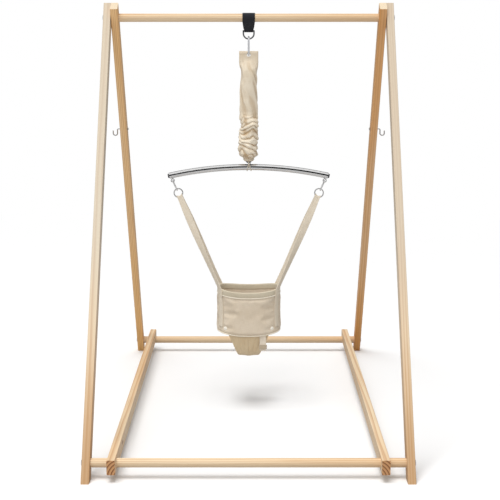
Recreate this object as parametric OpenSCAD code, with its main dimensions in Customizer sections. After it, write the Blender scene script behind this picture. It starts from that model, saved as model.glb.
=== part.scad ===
// Baby jumper on a folding wooden A-frame.
// Millimetres. X runs across the stand, Y from front to back, Z up.
// The origin is on the floor, under the middle of the top dowel.

/* [Stand] */
// Width over the outer faces of the front legs
frame_w = 880; // [800:10:1000]
// Height of the pivot, which is the axis of the top dowel
pivot_h = 1215; // [1150:5:1300]
// Lean of each leg from the vertical, in degrees
splay = 30; // [26:1:32]
// Thickness of a leg, across the stand
leg_t = 22; // [18:1:26]
// Depth of a leg, front to back
leg_d = 40; // [36:1:46]
// Length of a leg above the pivot
leg_over = 40; // [36:1:60]
// Radius of the eased long edges of legs and rails
edge_r = 2; // [1:0.5:4]

/* [Dowels and rails] */
// Diameter of the three dowels
dowel_d = 25; // [22:1:28]
// Height of the front and rear dowels' axes
low_dowel_h = 43; // [40:1:60]
// Thickness of a base rail
rail_t = 22; // [18:1:26]
// Height of a base rail
rail_h = 40; // [36:1:46]
// Middle of a base rail, from the middle of the stand
rail_x = 361; // [330:1:370]
// Length of a rail beyond each dowel's axis
rail_end = 40; // [30:1:60]
// Depth of the rear dowel's axis below the middle of the rail
notch_drop = 10; // [6:1:12]
// Lean of the notch's front wall, in degrees, which lets the dowel leave as the frame folds
notch_flare = 38; // [36:1:45]

/* [Fasteners] */
// Diameter of the bolts in the dowel ends
bolt_d = 6; // [5:0.5:8]
// Diameter of a bolt's flat head
bolt_head_d = 15; // [13:0.5:18]
// Thickness of a bolt's flat head
bolt_head_h = 3; // [2:0.5:4]
// Outer diameter of a threaded insert
insert_d = 10; // [9.5:0.5:12]
// Length of a threaded insert
insert_l = 18; // [12:1:24]
// Diameter of the washer between two lapped legs
washer_d = 24; // [16:1:30]
// Thickness of that washer
washer_t = 1; // [0.5:0.25:2]

/* [Side hooks] */
// Distance of a side hook from the pivot, down the rear leg
hook_at = 405; // [380:5:600]
// Wire diameter of a side hook
hook_wire = 4; // [3:0.25:5]
// Mean radius of a side hook's open bend
hook_bend = 7; // [5:0.5:8]
// Height of a side hook's straight back
hook_back = 14; // [12:1:16]
// Width of a hook's nut, across flats
hook_nut_w = 8; // [7.5:0.5:10]

/* [Hanger] */
// Width of the hanger webbing on the dowel
hanger_w = 38; // [30:1:50]
// Thickness of the hanger webbing
hanger_t = 2; // [1.5:0.25:3]
// Distance from the top dowel's axis down to the bar of the D-ring
hanger_drop = 39; // [34:1:60]
// Outer width of the D-ring
dring_w = 37; // [34:1:44]
// Wire diameter of the D-ring
dring_wire = 4.5; // [4:0.25:5]
// Straight side of the D-ring
dring_side = 8; // [4:1:14]
// Outer length of the carabiner
carab_len = 60; // [56:1:80]
// Wire diameter of the carabiner
carab_wire = 6; // [5:0.5:6.5]
// Mean radius of the carabiner's wide end
carab_big_r = 12; // [11.5:0.5:14]
// Mean radius of the carabiner's narrow end
carab_small_r = 7.5; // [7:0.5:9]

/* [Spring and sleeve] */
// Wire diameter of the spring
spring_wire = 4.5; // [3.5:0.25:4.5]
// Mean diameter of the spring's coils
spring_d = 28; // [24:1:30]
// Whole coils of the spring
spring_turns = 30; // [20:1:36]
// Distance between the wires at the far ends of the two end loops
spring_reach = 335; // [320:5:380]
// Mean radius of an end loop
spring_loop_r = 9; // [8:0.5:10]
// Straight wire between an end loop and the coils
spring_stem = 36; // [34:1:44]
// Width of the sleeve's flat header
header_w = 60; // [50:1:70]
// Height of the header
header_h = 27; // [22:1:30]
// Thickness of the sleeve's cloth
cloth_t = 1.3; // [1:0.1:1.6]
// Room between the coils and the cloth of the sleeve
sleeve_room = 1.2; // [0.8:0.1:2]
// Depth of the folds in the bunched part of the sleeve
fold_depth = 3.2; // [2:0.2:4]
// Number of folds in the bunched part of the sleeve
fold_count = 7; // [5:1:8]
// Diameter of the cord that ties the sleeve's neck
tie_d = 2.5; // [2:0.25:3]

/* [Spreader bar] */
// Outer diameter of the tube
bar_d = 19; // [17:0.5:22]
// Wall of the tube
bar_wall = 1.5; // [1:0.25:2]
// Span between the tube's two ends
bar_span = 492; // [440:4:540]
// Rise of the tube's middle above its ends
bar_rise = 27; // [20:1:40]
// Length of an end plug inside the tube
plug_l = 22; // [18:1:30]
// Distance of an eye from the end of the tube
eye_in = 10; // [8:0.5:14]
// Wire diameter of an eye
eye_wire = 3; // [2.5:0.25:3.5]
// Mean radius of an eye
eye_r = 5; // [4.75:0.25:6]
// Diameter of the lashing cord
lash_d = 3; // [2.5:0.25:3.25]

/* [Snap hooks and rings] */
// Outer length of a snap hook
snap_len = 36; // [34:1:44]
// Wire diameter of a snap hook
snap_wire = 4; // [3.5:0.25:4]
// Mean radius of a snap hook's wide end
snap_big_r = 7; // [7:0.25:8]
// Mean radius of a snap hook's narrow end
snap_small_r = 4.5; // [4.5:0.25:5]
// Outer diameter of a strap ring
ring_d = 31; // [29:1:36]
// Wire diameter of a strap ring
ring_wire = 4; // [3.5:0.25:4]

/* [Seat] */
// Width of the strap webbing
strap_w = 22; // [18:1:25]
// Thickness of the strap webbing
strap_t = 2; // [1.5:0.25:2.5]
// Length of a strap from its ring to the top of the band
strap_len = 308; // [260:4:360]
// Length of a strap's sewn end on the band
strap_sewn = 120; // [40:2:124]
// Outer width of the chest band
band_w = 196; // [180:2:220]
// Outer depth of the chest band, front to back
band_depth = 146; // [130:2:160]
// Height of the chest band
band_h = 138; // [120:2:160]
// Thickness of the chest band
band_t = 5; // [4:0.5:7]
// Dip of the band's edges in the middle of its front and back
band_dip = 10; // [0:1:16]
// Height of the binding round the band's top
binding_h = 16; // [12:1:22]
// Drop of the sling below the band
sling_drop = 82; // [70:2:100]
// Width of the sling at the band
sling_top_w = 130; // [110:2:140]
// Width of the sling at its lowest point
sling_low_w = 62; // [50:2:80]
// Thickness of the sling
sling_t = 4; // [3:0.5:5]
// Diameter of a press stud
stud_d = 12; // [10:0.5:15]
// Width of the adjusting tab
tab_w = 20; // [16:1:22]
// Length of the adjusting tab
tab_l = 46; // [40:1:56]

/* [Hidden] */
$fn = 48;

// Fits: a pin that turns, a pin that is fixed, and soft or linked pieces that lie together
run_fit = 0.05;
fixed_fit = 0.1;
play = 0.3;

// Where a straight runs on into a bend it is this much fuller, and laps this far over the bend's end
weld = 0.05;
lap = 0.3;

// Stand: lanes across the stand, measured from its middle
front_out = frame_w / 2;
front_in = front_out - leg_t;
rear_out = front_in - washer_t;
rear_in = rear_out - leg_t;
dowel_r = dowel_d / 2;
bolt_r = bolt_d / 2;

// Stand: the low dowels' axes, down each leg and along the floor
low_dowel_at = (pivot_h - low_dowel_h) / cos(splay);
low_dowel_y = low_dowel_at * sin(splay);
leg_down = pivot_h / cos(splay) + leg_d;

// Rails: the tilt that lifts the rear end onto the rear dowel
rail_reach = 2 * low_dowel_y;
rail_tilt = asin(notch_drop / rail_reach);
notch_at = sqrt(rail_reach * rail_reach - notch_drop * notch_drop);
notch_r = dowel_r + play;

// Hanger: heights of the linked pieces, from the top down
dring_z = pivot_h - hanger_drop;
dring_r = (dring_w - dring_wire) / 2;
dring_low = dring_z - dring_side - dring_r;
carab_top = dring_low + (dring_wire + carab_wire) / 2 + play;
carab_z = carab_top - carab_big_r;
carab_low = carab_top - carab_len + carab_wire;

// Spring: the end loops' outermost wires and centres, and the coils between them
spring_top = carab_low + (carab_wire + spring_wire) / 2 + play;
spring_low = spring_top - spring_reach;
spring_mid = (spring_top + spring_low) / 2;
spring_r = spring_d / 2;
stem_bend = 5;
lead_r = norm([spring_loop_r, stem_bend]);
lead_turn = atan2(stem_bend, -spring_loop_r);
coil_top = spring_top - spring_loop_r - spring_stem - stem_bend;
coil_turns = spring_turns + 2 * lead_turn / 360;
coil_drop = 2 * (coil_top - spring_mid);

// Sleeve: the header hangs on the carabiner, and the neck closes above the bar
header_top = carab_low + carab_wire / 2 + 9;
header_low = header_top - header_h;
header_in = spring_wire / 2 + play;
sleeve_in = spring_r + spring_wire / 2 + sleeve_room;
neck_z = spring_low + 11;
sleeve_low = spring_low + 5.5;
neck_in = spring_loop_r + spring_wire / 2 + 2 * play;
neck_out = neck_in + 2 * cloth_t;

// Spreader bar: an arc under the spring's lower loop
bar_gap = 2;
bar_z = spring_low - spring_wire / 2 - bar_gap - bar_d / 2;
bar_arc_r = (bar_span * bar_span / 4 + bar_rise * bar_rise) / (2 * bar_rise);
bar_half_angle = asin(bar_span / 2 / bar_arc_r);
eye_x = bar_span / 2 - eye_in;
eye_bar_z = bar_z - bar_arc_r + sqrt(bar_arc_r * bar_arc_r - eye_x * eye_x);
eye_neck = 1;
eye_z = eye_bar_z - bar_d / 2 - eye_neck - eye_wire / 2 - eye_r;

// Strap sides: distances down the hanging line, which runs from the eye's centre towards the seat
snap_top_u = eye_r - (eye_wire + snap_wire) / 2 - play;
snap_low_u = snap_top_u + snap_len - snap_wire;
ring_r = (ring_d - ring_wire) / 2;
ring_u = snap_low_u - (snap_wire + ring_wire) / 2 - play + ring_r;
ring_low_u = ring_u + ring_r;
hang_u = ring_low_u + strap_len;

// Seat: a rounded oblong in plan; the straps meet it at its four corners
oval_power = 2.8;
sew_angle = 30;
band_a = band_w / 2;
band_b = band_depth / 2;
sew_point = oval(band_a, band_b, sew_angle);
hang_tilt = asin((eye_x - sew_point.x) / hang_u);
band_top = eye_z - hang_u * cos(hang_tilt);
band_low = band_top - band_h;
sling_tuck = 15;

// Colours
pine = [0.86, 0.72, 0.53];
steel = [0.75, 0.76, 0.78];
gunmetal = [0.35, 0.36, 0.38];
brass = [0.78, 0.62, 0.30];
black = [0.06, 0.06, 0.07];
cream = [0.90, 0.85, 0.75];
beige = [0.80, 0.73, 0.62];
white = [0.95, 0.95, 0.93];

// Small vector helpers
function unit(v) = v / norm(v);
function mix(a, b, t) = a + (b - a) * t;
function ease(t) = t <= 0 ? 0 : t >= 1 ? 1 : t * t * (3 - 2 * t);
function signed_power(v, p) = sign(v) * pow(abs(v), p);

// Point of a rounded oblong with half sizes a and b, at an angle round it
function oval(a, b, angle) = [
    a * signed_power(cos(angle), 2 / oval_power),
    b * signed_power(sin(angle), 2 / oval_power)
];

// Least distance between points of a path that are at least skip points apart
function least_gap(path, skip) = min([
    for (i = [0 : len(path) - 1 - skip])
        for (j = [i + skip : len(path) - 1])
            norm(path[i] - path[j])
]);

// Round tube swept along a path, as triangles
module tube(path, r, sides) {
    n = len(path);
    along = [for (i = [0 : n - 1]) unit(path[min(i + 1, n - 1)] - path[max(i - 1, 0)])];
    start = unit(cross(along[0], abs(along[0].z) < 0.9 ? [0, 0, 1] : [1, 0, 0]));
    across = [
        for (i = 0, v = start; i < n; i = i + 1, v = i < n ? unit(v - (v * along[i]) * along[i]) : v) v
    ];
    points = [
        for (i = [0 : n - 1])
            for (k = [0 : sides - 1])
                let (a = 360 * k / sides)
                path[i] + r * (cos(a) * across[i] + sin(a) * cross(along[i], across[i]))
    ];
    walls = [
        for (i = [0 : n - 2])
            for (k = [0 : sides - 1])
                let (a = i * sides + k, b = i * sides + (k + 1) % sides, c = b + sides, d = a + sides)
                each [[a, d, c], [a, c, b]]
    ];
    last = (n - 1) * sides;
    caps = [for (k = [1 : sides - 2]) each [[0, k, k + 1], [last, last + k + 1, last + k]]];
    polyhedron(points = points, faces = concat(walls, caps));
}

// Cloth tube between an outer and an inner grid of rings, both from the bottom up, as triangles
module shell(outer, inner) {
    m = len(outer[0]);
    n = len(outer);
    base = n * m;
    top = base + (len(inner) - 1) * m;
    points = concat([for (ring = outer) each ring], [for (ring = inner) each ring]);
    outside = [
        for (i = [0 : n - 2])
            for (j = [0 : m - 1])
                let (a = i * m + j, b = i * m + (j + 1) % m)
                each [[a, a + m, b + m], [a, b + m, b]]
    ];
    inside = [
        for (i = [0 : len(inner) - 2])
            for (j = [0 : m - 1])
                let (a = base + i * m + j, b = base + i * m + (j + 1) % m)
                each [[a, b + m, a + m], [a, b, b + m]]
    ];
    rims = [
        for (j = [0 : m - 1])
            let (k = (j + 1) % m, o = (n - 1) * m)
            each [
                [o + j, top + j, top + k], [o + j, top + k, o + k],
                [j, base + k, base + j], [j, k, base + k]
            ]
    ];
    polyhedron(points = points, faces = concat(outside, inside, rims));
}

// Cloth sheet between two grids of the same size, as triangles
module sheet(front, back) {
    n = len(front);
    m = len(front[0]);
    base = n * m;
    points = concat([for (row = front) each row], [for (row = back) each row]);
    skins = [
        for (i = [0 : n - 2])
            for (j = [0 : m - 2])
                let (a = i * m + j, b = a + m, c = b + 1, d = a + 1)
                each [[a, c, b], [a, d, c], [base + a, base + b, base + c], [base + a, base + c, base + d]]
    ];
    sides = [
        for (i = [0 : n - 2])
            let (a = i * m, b = a + m, c = a + m - 1, d = c + m)
            each [
                [a, b, base + b], [a, base + b, base + a],
                [c, base + d, d], [c, base + c, base + d]
            ]
    ];
    ends = [
        for (j = [0 : m - 2])
            let (a = j, b = j + 1, c = base - m + j, d = c + 1)
            each [
                [a, base + b, b], [a, base + a, base + b],
                [c, d, base + d], [c, base + d, base + c]
            ]
    ];
    polyhedron(points = points, faces = concat(skins, sides, ends));
}

// Unit normals of a grid of points, one for each point
function grid_normals(grid) = [
    for (i = [0 : len(grid) - 1]) [
        for (j = [0 : len(grid[0]) - 1])
            let (
                along = grid[min(i + 1, len(grid) - 1)][j] - grid[max(i - 1, 0)][j],
                across = grid[i][min(j + 1, len(grid[0]) - 1)] - grid[i][max(j - 1, 0)]
            )
            unit(cross(along, across))
    ]
];

// Grid moved along its normals
function grid_offset(grid, normals, distance) = [
    for (i = [0 : len(grid) - 1])
        [for (j = [0 : len(grid[0]) - 1]) grid[i][j] + distance * normals[i][j]]
];

// Rectangle with eased corners, centred
module eased_rect(w, d, r) {
    square([w - 2 * r, d], center = true);
    square([w, d - 2 * r], center = true);
    for (x = [-1, 1])
        for (y = [-1, 1])
            translate([x * (w / 2 - r), y * (d / 2 - r)])
                circle(r);
}

// Cylinder along X from x0 to x1
module rod_x(x0, x1, r) {
    translate([x0, 0, 0])
        rotate([0, 90, 0])
            cylinder(h = x1 - x0, r = r);
}

// Arc of wire in the XY plane, from one angle to another
module wire_arc(mean_r, r, from, to) {
    rotate([0, 0, from])
        rotate_extrude(angle = to - from)
            translate([mean_r, 0])
                circle(r);
}

// Arc of a flat strip in the XY plane, from one angle to another, w wide along Z
module strip_arc(inner_r, t, w, from, to) {
    rotate([0, 0, from])
        rotate_extrude(angle = to - from)
            translate([inner_r, -w / 2])
                square([t, w]);
}

// Stand

// Leg about the pivot, leaning by the given angle, cut level on the floor
module leg(lane_in, lean, pivot_bore, dowel_bore) {
    difference() {
        translate([lane_in + leg_t / 2, 0, pivot_h])
            rotate([lean, 0, 0])
                difference() {
                    translate([0, 0, -leg_down])
                        linear_extrude(leg_down + leg_over)
                            eased_rect(leg_t, leg_d, edge_r);
                    rod_x(-leg_t, leg_t, pivot_bore);
                    translate([0, 0, -low_dowel_at])
                        rod_x(-leg_t, leg_t, dowel_bore);
                    children();
                }
        translate([0, -2 * leg_down, -2 * leg_d])
            cube([2 * front_out, 4 * leg_down, 2 * leg_d]);
    }
}

module front_leg() {
    leg(front_in, -splay, bolt_r + fixed_fit, bolt_r + fixed_fit);
}

module rear_leg() {
    leg(rear_in, splay, bolt_r + run_fit, bolt_r + fixed_fit)
        translate([0, 0, -hook_at])
            rod_x(-leg_t, leg_t, hook_wire / 2 + fixed_fit);
}

module front_leg_right() {
    color(pine)
        front_leg();
}

module front_leg_left() {
    color(pine)
        mirror([1, 0, 0])
            front_leg();
}

module rear_leg_right() {
    color(pine)
        rear_leg();
}

module rear_leg_left() {
    color(pine)
        mirror([1, 0, 0])
            rear_leg();
}

// Dowel along X with a seat for an insert, and room for the bolt's tip, in each end
module dowel(half) {
    difference() {
        rod_x(-half, half, dowel_r);
        for (side = [0, 1])
            mirror([side, 0, 0]) {
                rod_x(half - insert_l, half + 1, insert_d / 2 + fixed_fit);
                rod_x(half - insert_l - bolt_d, half, bolt_r + 2 * fixed_fit);
            }
    }
}

module top_dowel() {
    color(pine)
        translate([0, 0, pivot_h])
            dowel(rear_in - play);
}

module front_dowel() {
    color(pine)
        translate([0, -low_dowel_y, low_dowel_h])
            dowel(front_in);
}

module rear_dowel() {
    color(pine)
        translate([0, low_dowel_y, low_dowel_h])
            dowel(rear_in);
}

// Rail along Y from the front dowel's axis: a bore there, and a notch that drops over the rear dowel
module base_rail() {
    seat = [notch_at, -notch_drop];
    wall = notch_r * [-cos(notch_flare), sin(notch_flare)];
    fall = 2 * rail_h * [-sin(notch_flare), -cos(notch_flare)];
    translate([rail_x, -low_dowel_y, low_dowel_h])
        rotate([rail_tilt, 0, 0])
            difference() {
                translate([0, -rail_end, 0])
                    rotate([-90, 0, 0])
                        linear_extrude(notch_at + 2 * rail_end)
                            eased_rect(rail_t, rail_h, edge_r);
                rod_x(-rail_t, rail_t, dowel_r + run_fit);
                translate([-rail_t, 0, 0])
                    rotate([90, 0, 90])
                        linear_extrude(2 * rail_t) {
                            translate(seat)
                                circle(notch_r);
                            polygon([
                                seat, seat + wall, seat + wall + fall,
                                seat + [notch_r, -2 * rail_h], seat + [notch_r, 0]
                            ]);
                        }
            }
}

module base_rail_right() {
    color(pine)
        base_rail();
}

module base_rail_left() {
    color(pine)
        mirror([1, 0, 0])
            base_rail();
}

// Pair of bolts along X: heads on the outer face, shanks reaching into the dowel's inserts
module bolt_pair(face, dowel_end) {
    tip = dowel_end - insert_l - bolt_d / 2;
    for (side = [0, 1])
        mirror([side, 0, 0]) {
            difference() {
                rod_x(face, face + bolt_head_h, bolt_head_d / 2);
                rod_x(face + bolt_head_h / 2, face + 2 * bolt_head_h, bolt_r * 0.6, $fn = 6);
            }
            rod_x(tip, face, bolt_r);
        }
}

module pivot_bolts() {
    color(steel)
        translate([0, 0, pivot_h])
            bolt_pair(front_out, rear_in);
}

module front_dowel_bolts() {
    color(steel)
        translate([0, -low_dowel_y, low_dowel_h])
            bolt_pair(front_out, front_in);
}

module rear_dowel_bolts() {
    color(steel)
        translate([0, low_dowel_y, low_dowel_h])
            bolt_pair(rear_out, rear_in);
}

module pivot_washers() {
    color(white)
        for (side = [0, 1])
            mirror([side, 0, 0])
                translate([0, 0, pivot_h])
                    difference() {
                        rod_x(rear_out, front_in, washer_d / 2);
                        rod_x(rear_out - 1, front_in + 1, bolt_r + fixed_fit);
                    }
}

// Pair of threaded inserts in a dowel's ends
module insert_pair(dowel_end) {
    for (side = [0, 1])
        mirror([side, 0, 0])
            difference() {
                rod_x(dowel_end - insert_l, dowel_end, insert_d / 2);
                rod_x(dowel_end - 2 * insert_l, dowel_end + 1, bolt_r + fixed_fit);
            }
}

module front_frame_inserts() {
    color(brass) {
        translate([0, 0, pivot_h])
            insert_pair(rear_in - play);
        translate([0, -low_dowel_y, low_dowel_h])
            insert_pair(front_in);
    }
}

module rear_dowel_inserts() {
    color(brass)
        translate([0, low_dowel_y, low_dowel_h])
            insert_pair(rear_in);
}

// Places its children on the rear leg's outer face, where a side hook goes through
module at_side_hook() {
    translate([rear_out, hook_at * sin(splay), pivot_h - hook_at * cos(splay)])
        children();
}

hook_nut_h = 3.2;
hook_elbow = hook_wire;
hook_out = hook_wire * 1.5;

// Open hook: threaded shank through the leg, elbow, straight back, and a bend open at the top
module side_hook() {
    r = hook_wire / 2;
    back_x = hook_out + hook_elbow;
    bend_x = back_x + hook_bend;
    at_side_hook() {
        rod_x(-leg_t - hook_nut_h - 1.5, hook_out, r);
        rotate([90, 0, 0]) {
            translate([hook_out, -hook_elbow])
                wire_arc(hook_elbow, r, 0, 90);
            translate([bend_x, -hook_back])
                wire_arc(hook_bend, r, 180, 360);
        }
        translate([back_x, 0, -hook_back])
            cylinder(h = hook_back - hook_elbow, r = r);
        translate([bend_x + hook_bend, 0, -hook_back])
            cylinder(h = hook_back / 2, r = r);
        translate([bend_x + hook_bend, 0, -hook_back / 2])
            sphere(r);
    }
}

module side_hook_right() {
    color(steel)
        side_hook();
}

module side_hook_left() {
    color(steel)
        mirror([1, 0, 0])
            side_hook();
}

module side_hook_nuts() {
    color(gunmetal)
        for (side = [0, 1])
            mirror([side, 0, 0])
                at_side_hook()
                    difference() {
                        translate([-leg_t - hook_nut_h, 0, 0])
                            rotate([0, 90, 0])
                                cylinder(h = hook_nut_h, d = hook_nut_w / cos(30), $fn = 6);
                        rod_x(-leg_t - 2 * hook_nut_h, -leg_t + 1, hook_wire / 2 + fixed_fit);
                    }
}

// Hanger

// Webbing loop round the dowel and the D-ring's bar, drawn in to the ring's width at the bottom
module hanger_strap() {
    top_r = dowel_r + play;
    low_r = dring_wire / 2 + play;
    low_w = dring_w - 2 * dring_wire - 4 * play;
    reach = 2 * dowel_d;
    lean = asin((top_r - low_r) / hanger_drop);
    color(black)
        translate([0, 0, pivot_h])
            intersection() {
                rotate([90, 0, 90]) {
                    strip_arc(top_r, hanger_t, hanger_w, -lean, 180 + lean);
                    translate([0, -hanger_drop, 0])
                        strip_arc(low_r, hanger_t, hanger_w, 180 + lean, 360 - lean);
                    for (side = [0, 1])
                        mirror([side, 0, 0])
                            rotate([0, 0, -lean])
                                translate([top_r - weld, -hanger_drop * cos(lean) - lap, -hanger_w / 2])
                                    cube([hanger_t + 2 * weld, hanger_drop * cos(lean) + 2 * lap, hanger_w]);
                }
                rotate([90, 0, 0])
                    translate([0, 0, -reach / 2])
                        linear_extrude(reach)
                            polygon([
                                [-hanger_w / 2, reach], [-hanger_w / 2, -dowel_r],
                                [-low_w / 2, -hanger_drop + low_r], [-low_w / 2, -2 * hanger_drop],
                                [low_w / 2, -2 * hanger_drop], [low_w / 2, -hanger_drop + low_r],
                                [hanger_w / 2, -dowel_r], [hanger_w / 2, reach]
                            ]);
            }
}

module d_ring() {
    r = dring_wire / 2;
    color(gunmetal)
        translate([0, 0, dring_z]) {
            rod_x(-dring_r, dring_r, r);
            for (x = [-dring_r, dring_r]) {
                translate([x, 0, 0])
                    sphere(r);
                translate([x, 0, -dring_side])
                    cylinder(h = dring_side, r = r);
            }
            translate([0, 0, -dring_side])
                rotate([90, 0, 0])
                    wire_arc(dring_r, r, 180, 360);
        }
}

// Sprung hook in the XY plane, its wide end at the origin and its gate on the +X side.
// The gate line runs between the two arcs' tangent points, from the gate pin's end upwards.
function hook_lean(big, small, reach) = asin((big - small) / reach);
function hook_tongue(wire) = 0.4 * wire;
function hook_pin_r(wire) = 0.15 * wire;
function hook_pin_at(wire) = wire / 2 + 0.4;

// Places its children at the lower end of the gate line, with +Y along the line
module on_gate_line(big, small, reach) {
    lean = hook_lean(big, small, reach);
    translate([small * cos(lean), -reach - small * sin(lean), 0])
        rotate([0, 0, -lean])
            children();
}

module hook_body(len, wire, big, small) {
    reach = len - wire - big - small;
    lean = hook_lean(big, small, reach);
    line = reach * cos(lean);
    r = wire / 2;
    tongue = hook_tongue(wire);
    pin_at = hook_pin_at(wire);
    wire_arc(big, r, -lean, 180 + lean);
    translate([0, -reach, 0])
        wire_arc(small, r, 180 + lean, 360 - lean);
    mirror([1, 0, 0])
        on_gate_line(big, small, reach)
            translate([0, -lap, 0])
                rotate([-90, 0, 0])
                    cylinder(h = line + 2 * lap, r = r + weld);
    on_gate_line(big, small, reach)
        difference() {
            union() {
                translate([-0.35 * wire, -tongue / 2, -tongue / 2])
                    cube([0.7 * wire, tongue / 2 + pin_at, tongue]);
                translate([0, pin_at, -tongue / 2])
                    cylinder(h = tongue, r = 0.35 * wire);
                translate([-0.25 * wire, line - 0.65 * wire, -tongue / 2])
                    cube([0.5 * wire, 0.65 * wire + tongue / 2, tongue]);
            }
            translate([0, pin_at, -wire])
                cylinder(h = 2 * wire, r = hook_pin_r(wire) + run_fit);
        }
}

module hook_gate(len, wire, big, small) {
    reach = len - wire - big - small;
    line = reach * cos(hook_lean(big, small, reach));
    slot = hook_tongue(wire) + 2 * play;
    pin_at = hook_pin_at(wire);
    top = line - 0.6;
    on_gate_line(big, small, reach)
        difference() {
            union() {
                translate([0, pin_at, 0])
                    sphere(wire / 2);
                translate([0, pin_at, 0])
                    rotate([-90, 0, 0])
                        cylinder(h = top - pin_at, r = wire / 2);
            }
            translate([-wire, -wire, -slot / 2])
                cube([2 * wire, wire + pin_at + 0.45 * wire, slot]);
            translate([-wire, line - 0.85 * wire, -slot / 2])
                cube([2 * wire, wire, slot]);
            translate([0, pin_at, -wire])
                cylinder(h = 2 * wire, r = hook_pin_r(wire) + run_fit);
        }
}

module hook_pin(len, wire, big, small) {
    reach = len - wire - big - small;
    on_gate_line(big, small, reach)
        translate([0, hook_pin_at(wire), -wire / 2])
            cylinder(h = wire, r = hook_pin_r(wire));
}

// Turns a hook drawn in the XY plane into the YZ plane, its gate to the rear
module upright_hook() {
    rotate([90, 0, 90])
        children();
}

module carabiner() {
    color(steel)
        translate([0, 0, carab_z])
            upright_hook()
                hook_body(carab_len, carab_wire, carab_big_r, carab_small_r);
}

module carabiner_gate() {
    color(steel)
        translate([0, 0, carab_z])
            upright_hook()
                hook_gate(carab_len, carab_wire, carab_big_r, carab_small_r);
}

module carabiner_pin() {
    color(gunmetal)
        translate([0, 0, carab_z])
            upright_hook()
                hook_pin(carab_len, carab_wire, carab_big_r, carab_small_r);
}

// Spring and sleeve

// Upper half of the spring's end: loop, stem and elbow, ending where the coils start
loop_steps = 16;
elbow_steps = 4;
spring_end = concat(
    [
        for (i = [0 : loop_steps])
            let (a = 255 * (1 - i / loop_steps))
            [-spring_loop_r * cos(a), 0, spring_top - spring_loop_r + spring_loop_r * sin(a)]
    ],
    [
        for (i = [0 : elbow_steps - 1])
            let (a = 90 * i / elbow_steps)
            [-spring_loop_r, stem_bend * (1 - cos(a)), coil_top + stem_bend * (1 - sin(a))]
    ]
);

// Coils, drawn in towards the stems over the first and last half turn, with eight points a coil
coil_steps = round(8 * coil_turns);
coils = [
    for (i = [0 : coil_steps])
        let (
            t = coil_turns * i / coil_steps,
            r = mix(lead_r, spring_r, ease(2 * min(t, coil_turns - t))),
            a = lead_turn - 360 * t
        )
        [r * cos(a), r * sin(a), coil_top - coil_drop * i / coil_steps]
];

// The lower end is the upper one turned half round about the spring's middle
spring_path = concat(
    spring_end, coils,
    [for (i = [len(spring_end) - 1 : -1 : 0]) let (p = spring_end[i]) [p.x, -p.y, 2 * spring_mid - p.z]]
);
echo("spring, least gap to itself", least_gap(spring_path, 6) - spring_wire);

module spring() {
    color(steel)
        tube(spring_path, spring_wire / 2, 5);
}

// Flat header of two plies with an eyelet for the carabiner
module sleeve_header() {
    eyelet = carab_wire + spring_wire + 2;
    color(cream)
        translate([0, 0, header_low])
            difference() {
                linear_extrude(header_h)
                    square([header_w, 2 * (header_in + cloth_t)], center = true);
                translate([0, 0, -1])
                    linear_extrude(header_h + 1 - 2 * cloth_t)
                        square([header_w - 4 * cloth_t, 2 * header_in], center = true);
                translate([0, 0, carab_low + 1 - header_low])
                    rotate([90, 0, 0])
                        cylinder(h = header_w, d = eyelet, center = true);
            }
}

// Sleeve's half sizes at a height: flat under the header, round over the coils, drawn in at the neck
sleeve_full_z = coil_top + spring_wire;
bunch_top = mix(sleeve_low, sleeve_full_z, 0.52);
bunch_low = neck_z + 14;
function sleeve_bulge(z) =
    z > bunch_top ? 0 : mix(0, 6, ease((bunch_top - z) / 40));
function sleeve_half(z, wall) =
    let (
        flat = ease((z - sleeve_full_z) / (header_low - play - sleeve_full_z)),
        drawn = ease((bunch_low - z) / (bunch_low - neck_z)),
        round_r = sleeve_in + wall + (wall > 0 ? sleeve_bulge(z) : 0),
        neck_r = wall > 0 ? neck_out : neck_in,
        r = mix(round_r, neck_r, drawn)
    )
    [
        mix(r, header_w / 2 - (wall > 0 ? 0 : 2 * cloth_t), flat),
        mix(r, header_in + wall, flat)
    ];

// Folds: slanted rings that deepen down the bunched part and fade at the neck
function sleeve_fold(z, angle) =
    let (
        span = bunch_top - bunch_low,
        down = (bunch_top - z) / span,
        depth = fold_depth * ease(4 * down) * ease((z - neck_z) / (bunch_low - neck_z) * 1.2),
        slant = 0.35 * sin(angle + 50 * sin(500 * down)) + 0.12 * sin(2 * angle + 140)
    )
    depth * sin(360 * (fold_count * down + slant)) + 0.5 * ease(1 - down) * sin(3 * angle + z);
sleeve_sides = 18;
sleeve_upper = 10;
sleeve_lower = 6 * fold_count - 6;
sleeve_levels = concat(
    [for (i = [0 : sleeve_lower - 1]) mix(sleeve_low, bunch_top, i / sleeve_lower)],
    [for (i = [0 : sleeve_upper]) mix(bunch_top, header_low - play, i / sleeve_upper)]
);
sleeve_lining = [
    sleeve_low, neck_z, bunch_low, bunch_top, sleeve_full_z,
    mix(sleeve_full_z, header_low, 0.5), header_low - play
];
function sleeve_ring(z, wall, folds) =
    let (half = sleeve_half(z, wall), lean = 1.4 * cloth_t + fold_depth)
    [
        for (j = [0 : sleeve_sides - 1])
            let (
                a = 360 * j / sleeve_sides,
                grow = folds ? max(sleeve_fold(z, a), -0.6 * lean) : 0,
                fade = ease((header_low - z) / 30)
            )
            [(half.x + grow * fade) * cos(a), (half.y + grow * fade) * sin(a), z]
    ];

module spring_sleeve() {
    color(cream)
        shell(
            [for (z = sleeve_levels) sleeve_ring(z, cloth_t + 2, true)],
            [
                for (z = sleeve_lining)
                    sleeve_ring(z, 0, false)
            ]
        );
}

// Cord ring round the sleeve's neck
module sleeve_tie() {
    color(beige)
        translate([0, 0, neck_z])
            wire_arc(neck_out + play + 0.6 + tie_d / 2, tie_d / 2, 0, 360);
}

// Spreader bar

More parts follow.
